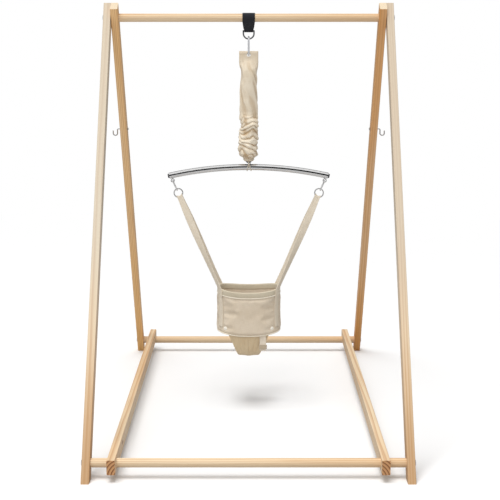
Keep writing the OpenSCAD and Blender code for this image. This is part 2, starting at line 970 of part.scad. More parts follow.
// Lashing: two turns round the bar and through the spring's loop, crossing once in front
lash_r = bar_d / 2 + lash_d / 2 + play;
lash_rise = spring_low + spring_wire / 2 + lash_d / 2 + 3 * play - bar_z - lash_r;
lash_steps = 24;
lash_cross = 1.09;
function lash_point(t) =
    let (
        a = 360 * t,
        over = abs(t - lash_cross) < 0.2 ? 1.35 * lash_d * pow(cos(90 * (t - lash_cross) / 0.2), 2) : 0,
        r = lash_r + lash_rise * pow(max(0, cos(a)), 3) + over,
        x = lash_d * (2.35 * sin(180 * t) - 0.38 * cos(180 * t) + 0.59 * (t - 1) + 0.38)
    )
    [x, -r * sin(a), bar_z + r * cos(a)];
lash_path = [for (i = [-2 : 2 * lash_steps - 3]) lash_point(i / lash_steps)];
echo("bar lashing, least gap to itself", least_gap(lash_path, lash_steps / 2) - lash_d);

module bar_lashing() {
    color(cream)
        tube(lash_path, lash_d / 2, 5);
}

// Places its children on the bar's arc, at an angle from its middle, with +X along the bar
module on_bar(angle) {
    translate([0, 0, bar_z - bar_arc_r])
        rotate([0, angle, 0])
            translate([0, 0, bar_arc_r])
                children();
}

// Shank of an eye, straight up into the bar's end, at a radius
module eye_shank(r) {
    for (side = [0, 1])
        mirror([side, 0, 0])
            translate([eye_x, 0, eye_z + eye_r])
                cylinder(h = eye_bar_z + bar_d / 4 - eye_z - eye_r, r = r);
}

module spreader_bar() {
    color(steel)
        difference() {
            translate([0, 0, bar_z - bar_arc_r])
                rotate([90, 0, 0])
                    rotate([0, 0, 90 - bar_half_angle])
                        rotate_extrude(angle = 2 * bar_half_angle, $fn = 480)
                            translate([bar_arc_r, 0])
                                difference() {
                                    circle(bar_d / 2, $fn = 48);
                                    circle(bar_d / 2 - bar_wall, $fn = 48);
                                }
            eye_shank(eye_wire / 2 + fixed_fit);
        }
}

// Plugs: a short arc that fills the tube's end, with a domed lip outside it
module bar_end_plugs() {
    plug_angle = plug_l / bar_arc_r * 180 / PI;
    plug_r = bar_d / 2 - bar_wall - fixed_fit;
    color(gunmetal)
        difference() {
            for (side = [0, 1])
                mirror([side, 0, 0]) {
                    translate([0, 0, bar_z - bar_arc_r])
                        rotate([90, 0, 0])
                            rotate([0, 0, 90 - bar_half_angle])
                                rotate_extrude(angle = plug_angle, $fn = 480)
                                    translate([bar_arc_r, 0])
                                        circle(plug_r, $fn = 48);
                    on_bar(bar_half_angle)
                        rotate([0, 90, 0])
                            rotate_extrude()
                                intersection() {
                                    translate([-bar_d / 4, 0])
                                        circle(bar_d / 2 + bar_d / 8);
                                    square([bar_d / 2 - play, bar_d / 4]);
                                }
                }
            eye_shank(eye_wire / 2 + fixed_fit);
        }
}

// Eyes: a ring of wire under each end of the bar, on a shank
module bar_eyes() {
    color(steel) {
        eye_shank(eye_wire / 2);
        for (x = [-eye_x, eye_x])
            translate([x, 0, eye_z])
                rotate([90, 0, 0])
                    wire_arc(eye_r, eye_wire / 2, 0, 360);
    }
}

// Snap hooks and rings

// Right-hand hanging line: from the eye's centre, leaning towards the seat, with -Z along it
module on_hang_line() {
    translate([eye_x, 0, eye_z])
        rotate([0, hang_tilt, 0])
            children();
}

// Places its children at the wide end of the snap hook
module at_snap_hook() {
    on_hang_line()
        translate([0, 0, -snap_top_u - snap_big_r])
            upright_hook()
                children();
}

module snap_hook_right() {
    color(steel)
        at_snap_hook()
            hook_body(snap_len, snap_wire, snap_big_r, snap_small_r);
}

module snap_hook_left() {
    color(steel)
        mirror([1, 0, 0])
            at_snap_hook()
                hook_body(snap_len, snap_wire, snap_big_r, snap_small_r);
}

module snap_gate_right() {
    color(steel)
        at_snap_hook()
            hook_gate(snap_len, snap_wire, snap_big_r, snap_small_r);
}

module snap_gate_left() {
    color(steel)
        mirror([1, 0, 0])
            at_snap_hook()
                hook_gate(snap_len, snap_wire, snap_big_r, snap_small_r);
}

module snap_pins() {
    color(gunmetal)
        for (side = [0, 1])
            mirror([side, 0, 0])
                at_snap_hook()
                    hook_pin(snap_len, snap_wire, snap_big_r, snap_small_r);
}

module strap_rings() {
    color(steel)
        for (side = [0, 1])
            mirror([side, 0, 0])
                on_hang_line()
                    translate([0, 0, -ring_u])
                        rotate([90, 0, 0])
                            wire_arc(ring_r, ring_wire / 2, 0, 360);
}

// Straps

// Right-hand hanging line as vectors: across it, down it, and points on it
line_across = [cos(hang_tilt), 0, -sin(hang_tilt)];
line_down = [-sin(hang_tilt), 0, -cos(hang_tilt)];
function line_point(u) = [eye_x, 0, eye_z] + u * line_down;

// Webbing stations for the front half of a right-hand strap, from the ring's wire down to the sewn end.
// Each is its middle, its direction across, its half width, and how far its edges rise towards the ring
// or bow in towards the band.
bend_r = ring_wire / 2 + strap_t / 2 + 1.5 * play;
bend_w = 0.4 * strap_w;
ring_side = sqrt(ring_r * ring_r - bend_w * bend_w);
ring_cup = ring_r - ring_side;
bend_cup = bend_r * (ring_r / ring_side - 1);
bend_steps = 4;
free_steps = 5;
sewn_steps = 4;
sewn_off = strap_t / 2 + cloth_t + 2 * play;
sewn_bow = strap_w * strap_w / (4 * band_depth);
sew_normal = unit([
    pow(abs(cos(sew_angle)), 2 - 2 / oval_power) / band_a,
    -pow(abs(sin(sew_angle)), 2 - 2 / oval_power) / band_b,
    0
]);
sew_across = unit(cross([0, 0, 1], sew_normal));
sew_top = [sew_point.x, -sew_point.y, band_top] + sewn_off * sew_normal;
ring_wire_low = line_point(ring_low_u);
strap_start = ring_wire_low + [0, -bend_r, 0];
front_stations = concat(
    [
        for (i = [0 : bend_steps - 1])
            let (a = 90 * (1 - i / bend_steps))
            [
                ring_wire_low + bend_r * ([0, -cos(a), 0] - sin(a) * line_down),
                line_across, bend_w, -(ring_cup + bend_cup * sin(a)) * line_down
            ]
    ],
    [
        for (i = [0 : free_steps])
            let (t = i / free_steps)
            [
                mix(strap_start, sew_top, t), unit(mix(line_across, sew_across, ease(t))),
                mix(bend_w, strap_w / 2, ease(4 * t)),
                -ring_cup * (1 - ease(4 * t)) * line_down - sewn_bow * ease(4 * t - 3) * sew_normal
            ]
    ],
    [
        for (i = [1 : sewn_steps])
            [sew_top - [0, 0, strap_sewn * i / sewn_steps], sew_across, strap_w / 2, -sewn_bow * sew_normal]
    ]
);

// The whole strap runs from the rear sewn end, through the ring, to the front one
function flip_y(v) = [v.x, -v.y, v.z];
function to_rear(s) = [flip_y(s[0]), flip_y(s[1]), s[2], flip_y(s[3])];
strap_stations = concat(
    [for (i = [len(front_stations) - 1 : -1 : 1]) to_rear(front_stations[i])],
    front_stations
);
strap_columns = [-1, -0.5, 0, 0.5, 1];
strap_grid = [
    for (s = strap_stations)
        [for (w = strap_columns) s[0] + w * s[2] * s[1] + w * w * s[3]]
];
strap_normals = grid_normals(strap_grid);

module strap() {
    sheet(
        grid_offset(strap_grid, strap_normals, strap_t / 2),
        grid_offset(strap_grid, strap_normals, -strap_t / 2)
    );
}

module strap_right() {
    color(beige)
        strap();
}

module strap_left() {
    color(beige)
        mirror([1, 0, 0])
            strap();
}

// Seat

// Ring of the band's plan at a height, moved out from its outer face
band_sides = 36;
function edge_dip(x) = band_dip * max(0, 1 - pow(x / band_a, 2));
function band_waist(z) = -3 * sin(180 * (z - band_low) / band_h);
function band_ring(z, out) =
    let (grow = out + band_waist(z))
    [
        for (j = [0 : band_sides - 1])
            let (p = oval(band_a + grow, band_b + grow, 360 * j / band_sides))
            [p.x, p.y, z - edge_dip(p.x)]
    ];
band_levels = [for (i = [0 : 7]) band_low + band_h * i / 7];

module seat_band() {
    color(beige)
        shell(
            [for (z = band_levels) band_ring(z, 0)],
            [for (z = [band_low, mix(band_low, band_top, 0.5), band_top]) band_ring(z, -band_t)]
        );
}

// Binding: a folded strip round the outside of the band's top
binding_levels = [for (i = [0 : 2]) band_top - binding_h * (1 - i / 2)];

module seat_binding() {
    color(beige)
        shell(
            [for (z = binding_levels) band_ring(z, play + cloth_t)],
            [for (z = binding_levels) band_ring(z, play)]
        );
}

// Sling: hangs inside the band from front to back, drawn in between the legs
sling_rows = 22;
sling_columns = 10;
sling_top = band_low + sling_tuck;
sling_a = band_a - band_t - play - sling_t / 2 - 0.8;
sling_b = band_b - band_t - play - sling_t / 2 - 0.8;
sling_fall = sling_tuck + sling_drop;
sling_grid = [
    for (i = [0 : sling_rows])
        [
            for (j = [0 : sling_columns])
                let (
                    s = i / sling_rows,
                    w = 2 * j / sling_columns - 1,
                    low = pow(sin(180 * s), 0.8),
                    x = w * mix(sling_top_w, sling_low_w, low) / 2,
                    plan = pow(1 - pow(abs(x / sling_a), oval_power), 1 / oval_power),
                    fold = 1.5 * sin(180 * s) * cos(900 * w) * ease(3 * sin(180 * s)),
                    fall = edge_dip(x) * (1 - low) + sling_fall * pow(sin(180 * s), 0.9)
                )
                [
                    x,
                    -sling_b * signed_power(cos(180 * s), 0.75) * plan,
                    sling_top - fall + 9 * low * w * w + fold
                ]
        ]
];
sling_normals = grid_normals(sling_grid);

module seat_sling() {
    color(beige)
        sheet(
            grid_offset(sling_grid, sling_normals, sling_t / 2),
            grid_offset(sling_grid, sling_normals, -sling_t / 2)
        );
}

// Press studs low on the band's front, towards its sides
stud_x = band_a - 26;
stud_z = band_low + 18;
stud_h = 3;
function front_y(x, out) =
    -(band_b + out) * pow(1 - pow(abs(x / (band_a + out)), oval_power), 1 / oval_power);
function front_lean(x, y) = atan2(
    pow(abs(x) / band_a, oval_power - 1) / band_a,
    pow(abs(y) / band_b, oval_power - 1) / band_b
);

module press_studs() {
    stud_y = front_y(stud_x, band_waist(stud_z));
    color(white)
        for (side = [0, 1])
            mirror([side, 0, 0])
                translate([stud_x, stud_y, stud_z - edge_dip(stud_x)])
                    rotate([0, 0, front_lean(stud_x, stud_y)])
                        translate([0, -1.5 * play, 0])
                            rotate([90, 0, 0])
                                rotate_extrude()
                                    intersection() {
                                        translate([0, stud_h - stud_d])
                                            circle(stud_d);
                                        square([stud_d / 2, stud_h]);
                                    }
}

// Adjusting tab: webbing that comes out under the band and lies on the sling's front
tab_x = 44;
tab_t = 1.5;
tab_y = front_y(tab_x, 0) + band_t / 2;
tab_z = band_low - edge_dip(tab_x - tab_w / 2) - play;
buckle_h = 12;

module adjuster_tab() {
    color(beige)
        translate([tab_x, tab_y, tab_z])
            rotate([-5, 0, 0])
                translate([-tab_w / 2, -tab_t / 2, -tab_l])
                    cube([tab_w, tab_t, tab_l]);
}

module adjuster_buckle() {
    wall = 2;
    color(gunmetal)
        translate([tab_x, tab_y, tab_z])
            rotate([-5, 0, 0])
                translate([0, 0, -tab_l + buckle_h])
                    difference() {
                        translate([-tab_w / 2 - play - wall, -tab_t / 2 - play - wall, -buckle_h / 2])
                            cube([tab_w + 2 * (play + wall), tab_t + 2 * (play + wall), buckle_h]);
                        translate([-tab_w / 2 - play, -tab_t / 2 - play, -buckle_h])
                            cube([tab_w + 2 * play, tab_t + 2 * play, 2 * buckle_h]);
                    }
}

front_leg_left();
front_leg_right();
rear_leg_left();
rear_leg_right();
top_dowel();
front_dowel();
rear_dowel();
base_rail_left();
base_rail_right();
pivot_bolts();
front_dowel_bolts();
rear_dowel_bolts();
pivot_washers();
front_frame_inserts();
rear_dowel_inserts();
side_hook_left();
side_hook_right();
side_hook_nuts();
hanger_strap();
d_ring();
carabiner();
carabiner_gate();
carabiner_pin();
spring();
sleeve_header();
spring_sleeve();
sleeve_tie();
bar_lashing();
spreader_bar();
bar_end_plugs();
bar_eyes();
snap_hook_left();
snap_hook_right();
snap_gate_left();
snap_gate_right();
snap_pins();
strap_rings();
strap_left();
strap_right();
seat_band();
seat_binding();
seat_sling();
press_studs();
adjuster_tab();
adjuster_buckle();
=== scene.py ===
"""Baby jumper on a folding pine stand: cloth, webbing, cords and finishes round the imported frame.

Metres, in the frame's own axes: X runs across the stand, Y from front to back, Z up.
"""
import math

import bmesh
import bpy
import numpy as np
from mathutils import Matrix, Vector, noise


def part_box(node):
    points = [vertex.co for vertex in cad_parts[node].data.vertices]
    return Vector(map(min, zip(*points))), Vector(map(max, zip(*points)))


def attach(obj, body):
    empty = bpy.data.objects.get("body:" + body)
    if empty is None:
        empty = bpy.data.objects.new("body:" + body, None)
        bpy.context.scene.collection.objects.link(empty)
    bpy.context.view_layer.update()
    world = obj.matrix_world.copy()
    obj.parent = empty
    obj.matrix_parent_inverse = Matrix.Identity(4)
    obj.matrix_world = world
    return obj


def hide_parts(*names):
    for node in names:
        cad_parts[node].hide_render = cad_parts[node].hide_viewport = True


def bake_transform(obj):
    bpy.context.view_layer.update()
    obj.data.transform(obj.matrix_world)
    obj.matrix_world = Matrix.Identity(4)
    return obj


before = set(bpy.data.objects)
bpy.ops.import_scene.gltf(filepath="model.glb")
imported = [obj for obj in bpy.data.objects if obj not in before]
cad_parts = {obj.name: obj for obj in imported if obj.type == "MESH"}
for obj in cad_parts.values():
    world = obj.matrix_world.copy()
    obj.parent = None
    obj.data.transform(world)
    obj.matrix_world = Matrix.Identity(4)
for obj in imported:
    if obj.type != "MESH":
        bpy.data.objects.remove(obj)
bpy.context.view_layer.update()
scene = bpy.context.scene
MM = 0.001
TURN = 2 * math.pi

# Sizes of the soft pieces: those of their solids, except that the sling starts wider
CLOTH_T = 1.3 * MM
WEBBING_T = 2 * MM
PLAY = 0.3 * MM
OVAL_POWER = 2.8
EDGE_DIP = 10 * MM
WAIST = 3 * MM
BAND_T = 5 * MM
BINDING_H = 16 * MM
SEW_ANGLE = math.radians(30)
STRAP_W = 22 * MM
STRAP_SEWN = 120 * MM
SLING_TUCK = 15 * MM
SLING_TOP_W = 146 * MM
SLING_LOW_W = 62 * MM
SLING_T = 4 * MM
LASH_D = 3 * MM
TIE_D = 2.5 * MM
SPRING_WIRE = 4.5 * MM
SPRING_R = 14 * MM
SPRING_LOOP_R = 9 * MM
SPRING_STEM = 36 * MM
SPRING_TURNS = 30
STEM_BEND = 5 * MM
NECK_UP = 5.5 * MM
EYE_OUT = 6.5 * MM

# Places that the frame gives
dowel_lo, dowel_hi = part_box("top_dowel")
DOWEL_R = (dowel_hi.z - dowel_lo.z) / 2
PIVOT_Z = (dowel_hi.z + dowel_lo.z) / 2
HANGER_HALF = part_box("hanger_strap")[1].x
dring_lo, dring_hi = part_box("d_ring")
DRING_WIRE = dring_hi.y - dring_lo.y
DRING_Z = dring_hi.z - DRING_WIRE / 2
spring_lo, spring_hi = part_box("spring")
SPRING_TOP = spring_hi.z - SPRING_WIRE / 2
SPRING_LOW = spring_lo.z + SPRING_WIRE / 2
header_lo, header_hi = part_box("sleeve_header")
HEADER_TOP = header_hi.z
HEADER_LOW = header_lo.z
HEADER_HALF = header_hi.x
SLEEVE_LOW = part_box("spring_sleeve")[0].z
NECK_Z = SLEEVE_LOW + NECK_UP
tie_lo, tie_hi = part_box("sleeve_tie")
bar_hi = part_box("spreader_bar")[1]
BAR_R = bar_hi.y
BAR_Z = bar_hi.z - BAR_R
ring_lo, ring_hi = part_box("strap_rings")
RING_OUT = (ring_hi.z - ring_lo.z) / 2
RING_WIRE = ring_hi.y - ring_lo.y
eyes_lo, eyes_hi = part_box("bar_eyes")
band_lo, band_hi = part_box("seat_band")
BAND_A = band_hi.x
BAND_B = band_hi.y
BAND_TOP = band_hi.z
BAND_LOW = band_lo.z + EDGE_DIP
BAND_H = BAND_TOP - BAND_LOW
BINDING_LOW = BAND_TOP - BINDING_H
tab_lo, tab_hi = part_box("adjuster_tab")


# Shader nodes

class Wire:
    """Output socket of a node. Arithmetic on it adds Math nodes."""

    def __init__(self, nodes, socket):
        self.nodes = nodes
        self.socket = socket

    def __add__(self, other):
        return self.nodes.calculate("ADD", self, other)

    def __sub__(self, other):
        return self.nodes.calculate("SUBTRACT", self, other)

    def __rsub__(self, other):
        return self.nodes.calculate("SUBTRACT", other, self)

    def __mul__(self, other):
        return self.nodes.calculate("MULTIPLY", self, other)

    def __truediv__(self, other):
        return self.nodes.calculate("DIVIDE", self, other)

    def __pow__(self, other):
        return self.nodes.calculate("POWER", self, other)

    __radd__ = __add__
    __rmul__ = __mul__

    def fraction(self):
        return self.nodes.calculate("FRACT", self)

    def size(self):
        return self.nodes.calculate("ABSOLUTE", self)

    def wave(self, length):
        """Sine that crosses 0 once in each length."""
        return self.nodes.calculate("SINE", self * (math.pi / length))

    def between(self, low, high):
        """0 below low and 1 above high, with a smooth step from one to the other."""
        settings = {"interpolation_type": "SMOOTHSTEP"}
        return self.nodes.add("ShaderNodeMapRange", settings, {0: self, 1: low, 2: high})


class Nodes:
    """Node tree of a material or of the world."""

    def __init__(self, owner):
        owner.use_nodes = True
        self.tree = owner.node_tree

    def add(self, kind, settings=None, inputs=None, output=0):
        node = self.tree.nodes.new(kind)
        for key, value in (settings or {}).items():
            setattr(node, key, value)
        for key, value in (inputs or {}).items():
            if isinstance(value, Wire):
                self.tree.links.new(value.socket, node.inputs[key])
            else:
                node.inputs[key].default_value = value
        return Wire(self, node.outputs[output])

    def calculate(self, operation, *values):
        return self.add("ShaderNodeMath", {"operation": operation}, dict(enumerate(values)))

    def ray(self, kind):
        return self.add("ShaderNodeLightPath", output=f"Is {kind} Ray")

    def seen(self):
        """1 for what the camera sees: straight, mirrored in metal or through something clear."""
        straight = self.calculate("MAXIMUM", self.ray("Camera"), self.ray("Glossy"))
        return self.calculate("MAXIMUM", straight, self.ray("Transmission"))

    def show(self, output, factor, first, second):
        """Ends the tree with a mix of two shaders."""
        shown = self.add("ShaderNodeMixShader", None, {0: factor, 1: first, 2: second})
        self.tree.links.new(shown.socket, self.tree.nodes[output].inputs["Surface"])


class Finish(Nodes):
    """One material and its shader. Constants go straight to the shader's sockets."""

    def __init__(self, name, constants):
        self.material = bpy.data.materials.new(name)
        super().__init__(self.material)
        self.shader = self.tree.nodes["Principled BSDF"]
        for socket, value in constants.items():
            self.shader.inputs[socket].default_value = value

    def feed(self, socket, wire):
        self.tree.links.new(wire.socket, self.shader.inputs[socket])

    def place(self, source="Object", at=(0, 0, 0), turn=(0, 0, 0)):
        """Coordinates measured from a point, along axes turned with the piece."""
        where = self.add("ShaderNodeTexCoord", output=source)
        inputs = {"Vector": where, "Location": at, "Rotation": turn}
        return self.add("ShaderNodeMapping", {"vector_type": "TEXTURE"}, inputs)

    def vectors(self, operation, first, second, output=0):
        return self.add("ShaderNodeVectorMath", {"operation": operation}, {0: first, 1: second}, output)

    def split(self, vector):
        first = self.add("ShaderNodeSeparateXYZ", None, {0: vector})
        return [Wire(self, socket) for socket in first.socket.node.outputs]

    def noise(self, vector, scale, detail=2.0):
        """Noise of one scale, or with a scale for each axis."""
        if isinstance(scale, tuple):
            vector = self.vectors("MULTIPLY", vector, scale)
            scale = 1.0
        return self.add("ShaderNodeTexNoise", None, {"Vector": vector, "Scale": scale, "Detail": detail})

    def mix(self, first, second, factor):
        return self.add("ShaderNodeMix", {"data_type": "RGBA"}, {0: factor, 6: first, 7: second}, 2)

    def coat(self, colour, roughness, height, strength, depth):
        """Gives the shader its colour, its roughness and its bump."""
        inputs = {"Height": height, "Strength": strength, "Distance": depth}
        self.feed("Base Color", colour)
        self.feed("Roughness", roughness)
        self.feed("Normal", self.add("ShaderNodeBump", None, inputs))
        return self


def paint(red, green, blue):
    """Shader colour from a screen colour's 0 to 255 values."""
    shares = [value / 255 for value in (red, green, blue)]
    linear = [s / 12.92 if s <= 0.04045 else ((s + 0.055) / 1.055) ** 2.4 for s in shares]
    return (*linear, 1.0)


def grey(level):
    return (level, level, level, 1)


# Finishes

HONEY = paint(218, 172, 120)
RED_CUT = (paint(206, 156, 108), paint(122, 70, 38))
PALE_CUT = (paint(240, 226, 200), paint(214, 186, 150))
KNOT_OVAL = (1, 1, 0.55)


def pine(
    name, at, turn, grain, seed, pith, pitch=4.2,
    honey_and_painted_light=HONEY, painted_light_warmth=0.0, painted_light_along_leg=False, cut=RED_CUT, knot=None,
):
    """Pine with rings round a pith line beside the piece; grain is the piece's long axis.

    pith, pitch and knot are in millimetres, and pith and knot are places in the piece's turned axes.
    A leg with painted light along it is paler towards its top, as painted light, and darker tan near its
    foot, as painted shade.
    """
    finish = Finish(name, {"Coat Weight": 0.1, "Coat Roughness": 0.4, "Specular IOR Level": 0.35})
    local = finish.place(at=at, turn=turn)
    shifted = finish.vectors("ADD", local, (0, 0, seed))
    x, y, along = finish.split(local)
    sway = finish.noise(shifted, (7, 7, 0.8), 3)
    from_x = x - pith[0] * MM
    from_y = y - pith[1] * MM
    radius = (from_x * from_x + from_y * from_y) ** 0.5 + sway * (16 * MM)
    phase = (radius / (pitch * MM)).fraction()
    late = phase.between(0.3, 0.9) * (1 - phase.between(0.92, 1.0))
    fibre = finish.noise(shifted, (420, 420, 5), 3)
    tone = finish.noise(shifted, (14, 14, 0.9)).between(0.35, 0.7)
    pale = finish.mix(paint(238, 217, 184), honey_and_painted_light, tone * 0.55 + painted_light_warmth)
    lined = finish.mix(pale, paint(198, 146, 94), late * 0.6)
    faces = finish.mix(lined, paint(184, 134, 88), fibre.between(0.5, 0.8) * 0.5)
    # Painted light and shade along the leg: paler towards its top, darker towards its foot.
    if painted_light_along_leg:
        faces = finish.mix(faces, paint(207, 200, 185), along.between(-1.3, -0.6) * 0.65)
        faces = finish.mix(faces, paint(178, 132, 84), along.between(-0.95, -1.4) * 0.7)
    if knot:
        centre = [place * share * MM for place, share in zip(knot, KNOT_OVAL)]
        away = finish.vectors("DISTANCE", finish.vectors("MULTIPLY", local, KNOT_OVAL), centre, 1)
        rim = (away + fibre * (2 * MM)).between(10 * MM, 4 * MM)
        faces = finish.mix(faces, paint(150, 96, 56), rim * 0.85)
    facing = finish.add("ShaderNodeTexCoord", output="Normal")
    ends = finish.vectors("DOT_PRODUCT", facing, grain, 1).size().between(0.6, 0.9)
    colour = finish.mix(faces, finish.mix(*cut, late), ends)
    roughness = 0.46 + fibre * 0.16 + ends * 0.2
    return finish.coat(colour, roughness, fibre + late * 0.6, 0.22, 0.15 * MM)


def metal(name, colour, dull, roughness, lines=(60, 900, 900)):
    """Metal with faint polishing lines and dull patches."""
    finish = Finish(name, {"Metallic": 1.0})
    local = finish.place()
    haze = finish.noise(local, 55, 3).between(0.4, 0.75)
    scratch = finish.noise(local, lines)
    worn = finish.mix(colour, dull, haze * 0.6 + scratch * 0.2)
    return finish.coat(worn, roughness + haze * 0.08 + scratch * 0.06, scratch, 0.05, 0.05 * MM)


def plastic(name, colour, worn, roughness):
    """Moulded plastic: a fine grain, and a little wear in patches."""
    finish = Finish(name, {"Specular IOR Level": 0.5})
    local = finish.place()
    grain = finish.noise(local, 2600)
    patch = finish.noise(local, 160, 3).between(0.45, 0.8)
    surface = finish.mix(colour, worn, patch * 0.5 + grain * 0.15)
    return finish.coat(surface, roughness + patch * 0.1, grain, 0.15, 0.08 * MM)


def canvas(name, pale, deep, pitch, sheen, painted_crease_shade=None):
    """Cotton canvas: crossing threads, slubs along both thread directions, and soft mottling.

    A crease colour, if given, is painted shade laid in the creases, on cloth that marks where they are.
    """
    finish = Finish(name, {"Sheen Weight": sheen, "Sheen Roughness": 0.5, "Specular IOR Level": 0.2})
    threads = finish.place("UV")
    u, v, _ = finish.split(threads)
    weave = u.wave(pitch) * v.wave(pitch) * 0.5 + 0.5
    slub = (finish.noise(threads, (60, 1400, 1)) + finish.noise(threads, (1400, 60, 1))) * 0.5
    mottle = finish.noise(threads, (22, 22, 1), 3)
    shade = slub.between(0.35, 0.68) * 0.55 + mottle.between(0.3, 0.75) * 0.4
    surface = finish.mix(deep, finish.mix(pale, deep, shade), 0.7 + weave * 0.3)
    if painted_crease_shade:
        # Painted shade: the crease colour is laid where the crest attribute is low, in the creases.
        crest = finish.add("ShaderNodeAttribute", {"attribute_name": "crest"}, None, 2)
        surface = finish.mix(painted_crease_shade, surface, crest)
    return finish.coat(surface, 0.82 + slub * 0.12, weave + slub * 0.8, 0.35, 0.25 * MM)


def webbing(name, pale, deep, pitch, sheen):
    """Narrow-woven webbing: herringbone ribs along its length, with grooves between its columns."""
    finish = Finish(name, {"Sheen Weight": sheen, "Sheen Roughness": 0.4, "Specular IOR Level": 0.35})
    threads = finish.place("UV")
    u, v, _ = finish.split(threads)
    zigzag = ((u * (0.25 / pitch)).fraction() - 0.5).size() * 4
    rib = (v * (1 / pitch) + zigzag).wave(1).size()
    height = rib * 0.6 + u.wave(pitch).size() * 0.4
    mottle = finish.noise(threads, (90, 40, 1), 3)
    surface = finish.mix(deep, pale, height * 0.45 + mottle * 0.6)
    return finish.coat(surface, 0.9 - height * 0.25, height, 0.5, 0.3 * MM)


def twisted_cord(name, pale, deep):
    """Laid cotton cord: fine yarns along each strand."""
    finish = Finish(name, {"Sheen Weight": 0.2, "Specular IOR Level": 0.2})
    threads = finish.place("UV")
    u, v, _ = finish.split(threads)
    yarn = (u * 2600 + v * 1500).wave(1).size()
    fuzz = finish.noise(threads, (900, 500, 1), 3)
    surface = finish.mix(deep, pale, yarn * 0.5 + fuzz * 0.5)
    return finish.coat(surface, 0.85 + fuzz * 0.1, yarn + fuzz, 0.3, 0.12 * MM)


def sewing_thread(name, colour, deep):
    """Thread of the stitches: mottled along its plies."""
    finish = Finish(name, {"Sheen Weight": 0.3, "Specular IOR Level": 0.3})
    ply = finish.noise(finish.place(), 1800)
    return finish.coat(finish.mix(colour, deep, ply), 0.65 + ply * 0.2, ply, 0.3, 0.1 * MM)


bright_steel = metal("bright_steel", grey(0.78), grey(0.68), 0.06)
satin_steel = metal("satin_steel", (0.88, 0.9, 0.94, 1), (0.76, 0.78, 0.82, 1), 0.45)
zinc_plate = metal("zinc_plate", (0.6, 0.61, 0.62, 1), (0.42, 0.43, 0.45, 1), 0.3, (500, 500, 500))
gunmetal = metal("gunmetal", (0.2, 0.21, 0.22, 1), (0.12, 0.12, 0.13, 1), 0.25)
spring_wire = metal("spring_wire", (0.45, 0.45, 0.46, 1), (0.28, 0.28, 0.29, 1), 0.3)
insert_brass = metal("insert_brass", (0.72, 0.52, 0.22, 1), (0.5, 0.35, 0.14, 1), 0.3)
black_webbing = webbing("black_webbing", paint(36, 38, 46), paint(12, 12, 15), 1.5 * MM, 0.25)
beige_webbing = webbing("beige_webbing", paint(242, 232, 214), paint(210, 194, 170), 1.4 * MM, 0.2)
pale_webbing = webbing("pale_webbing", paint(244, 234, 218), paint(218, 202, 178), 1.2 * MM, 0.2)
# The sleeve's third colour is painted shade for its creases.
sleeve_canvas = canvas(
    "sleeve_canvas", paint(248, 239, 222), paint(226, 209, 182), 0.9 * MM, 0.15, paint(188, 158, 118),
)
seat_canvas = canvas("seat_canvas", paint(234, 221, 202), paint(212, 195, 170), 0.9 * MM, 0.15)
binding_canvas = canvas("binding_canvas", paint(220, 210, 188), paint(198, 186, 162), 0.8 * MM, 0.15)
sling_canvas = canvas("sling_canvas", paint(234, 214, 180), paint(213, 189, 152), 0.9 * MM, 0.15)
piping_canvas = canvas("piping_canvas", paint(248, 241, 227), paint(230, 218, 196), 0.7 * MM, 0.2)
cream_cord = twisted_cord("cream_cord", paint(238, 230, 214), paint(198, 182, 154))
cream_thread = sewing_thread("cream_thread", paint(240, 232, 216), paint(214, 202, 180))
black_thread = sewing_thread("black_thread", paint(58, 60, 66), paint(30, 30, 34))
white_plastic = plastic("white_plastic", paint(252, 247, 235), paint(240, 232, 214), 0.5)
grey_plastic = plastic("grey_plastic", paint(74, 75, 78), paint(54, 55, 58), 0.42)
horn_plastic = plastic("horn_plastic", paint(190, 174, 150), paint(166, 150, 126), 0.45)
nylon = plastic("nylon", paint(232, 230, 222), paint(216, 212, 200), 0.45)

# Where each pine piece's grain is measured from, how it is turned, and which way its ends face
SPLAY = math.radians(30)
PIVOT = (0, 0, PIVOT_Z)
FRONT_LEG = (PIVOT, (-SPLAY, 0, 0), (0, -math.sin(SPLAY), -math.cos(SPLAY)))
REAR_LEG = (PIVOT, (SPLAY, 0, 0), (0, math.sin(SPLAY), -math.cos(SPLAY)))
ALONG_X = ((0, math.pi / 2, 0), (1, 0, 0))
ALONG_Y = ((math.pi / 2, 0, 0), (0, 1, 0))
LOW_DOWEL_Y = 0.677
LOW_DOWEL_Z = 0.043
RAIL_X = 0.361
RAIL_Z = 0.048
RAIL_PITCH = 8.5

NODE_FINISH = {
    "front_leg_left": pine("pine_front_left", *FRONT_LEG, 0.3, (-404, 46), painted_light_along_leg=True, cut=PALE_CUT),
    "front_leg_right": pine("pine_front_right", *FRONT_LEG, 4.1, (466, 38), painted_light_along_leg=True, cut=PALE_CUT),
    # Painted light: the rear legs' brighter, warmer wood colours and warm shares stand in for light on faces
    # turned down and away from the lamps.
    "rear_leg_left": pine(
        "pine_rear_left", *REAR_LEG, 7.7, (-372, -52), honey_and_painted_light=paint(250, 194, 116), painted_light_warmth=0.4, cut=PALE_CUT,
    ),
    "rear_leg_right": pine(
        "pine_rear_right", *REAR_LEG, 11.2, (436, 44), honey_and_painted_light=paint(222, 158, 86), painted_light_warmth=0.5, cut=PALE_CUT,
    ),
    "top_dowel": pine("pine_top_dowel", PIVOT, *ALONG_X, 15.9, (30, 6)),
    "front_dowel": pine("pine_front_dowel", (0, -LOW_DOWEL_Y, LOW_DOWEL_Z), *ALONG_X, 19.4, (26, -12)),
    "rear_dowel": pine("pine_rear_dowel", (0, LOW_DOWEL_Y, LOW_DOWEL_Z), *ALONG_X, 23.8, (-28, 8)),
    "base_rail_left": pine(
        "pine_rail_left", (-RAIL_X, 0, RAIL_Z), *ALONG_Y, 28.3, (34, -30), RAIL_PITCH, knot=(13, -2, 520),
    ),
    "base_rail_right": pine("pine_rail_right", (RAIL_X, 0, RAIL_Z), *ALONG_Y, 33.6, (-32, -34), RAIL_PITCH),
}
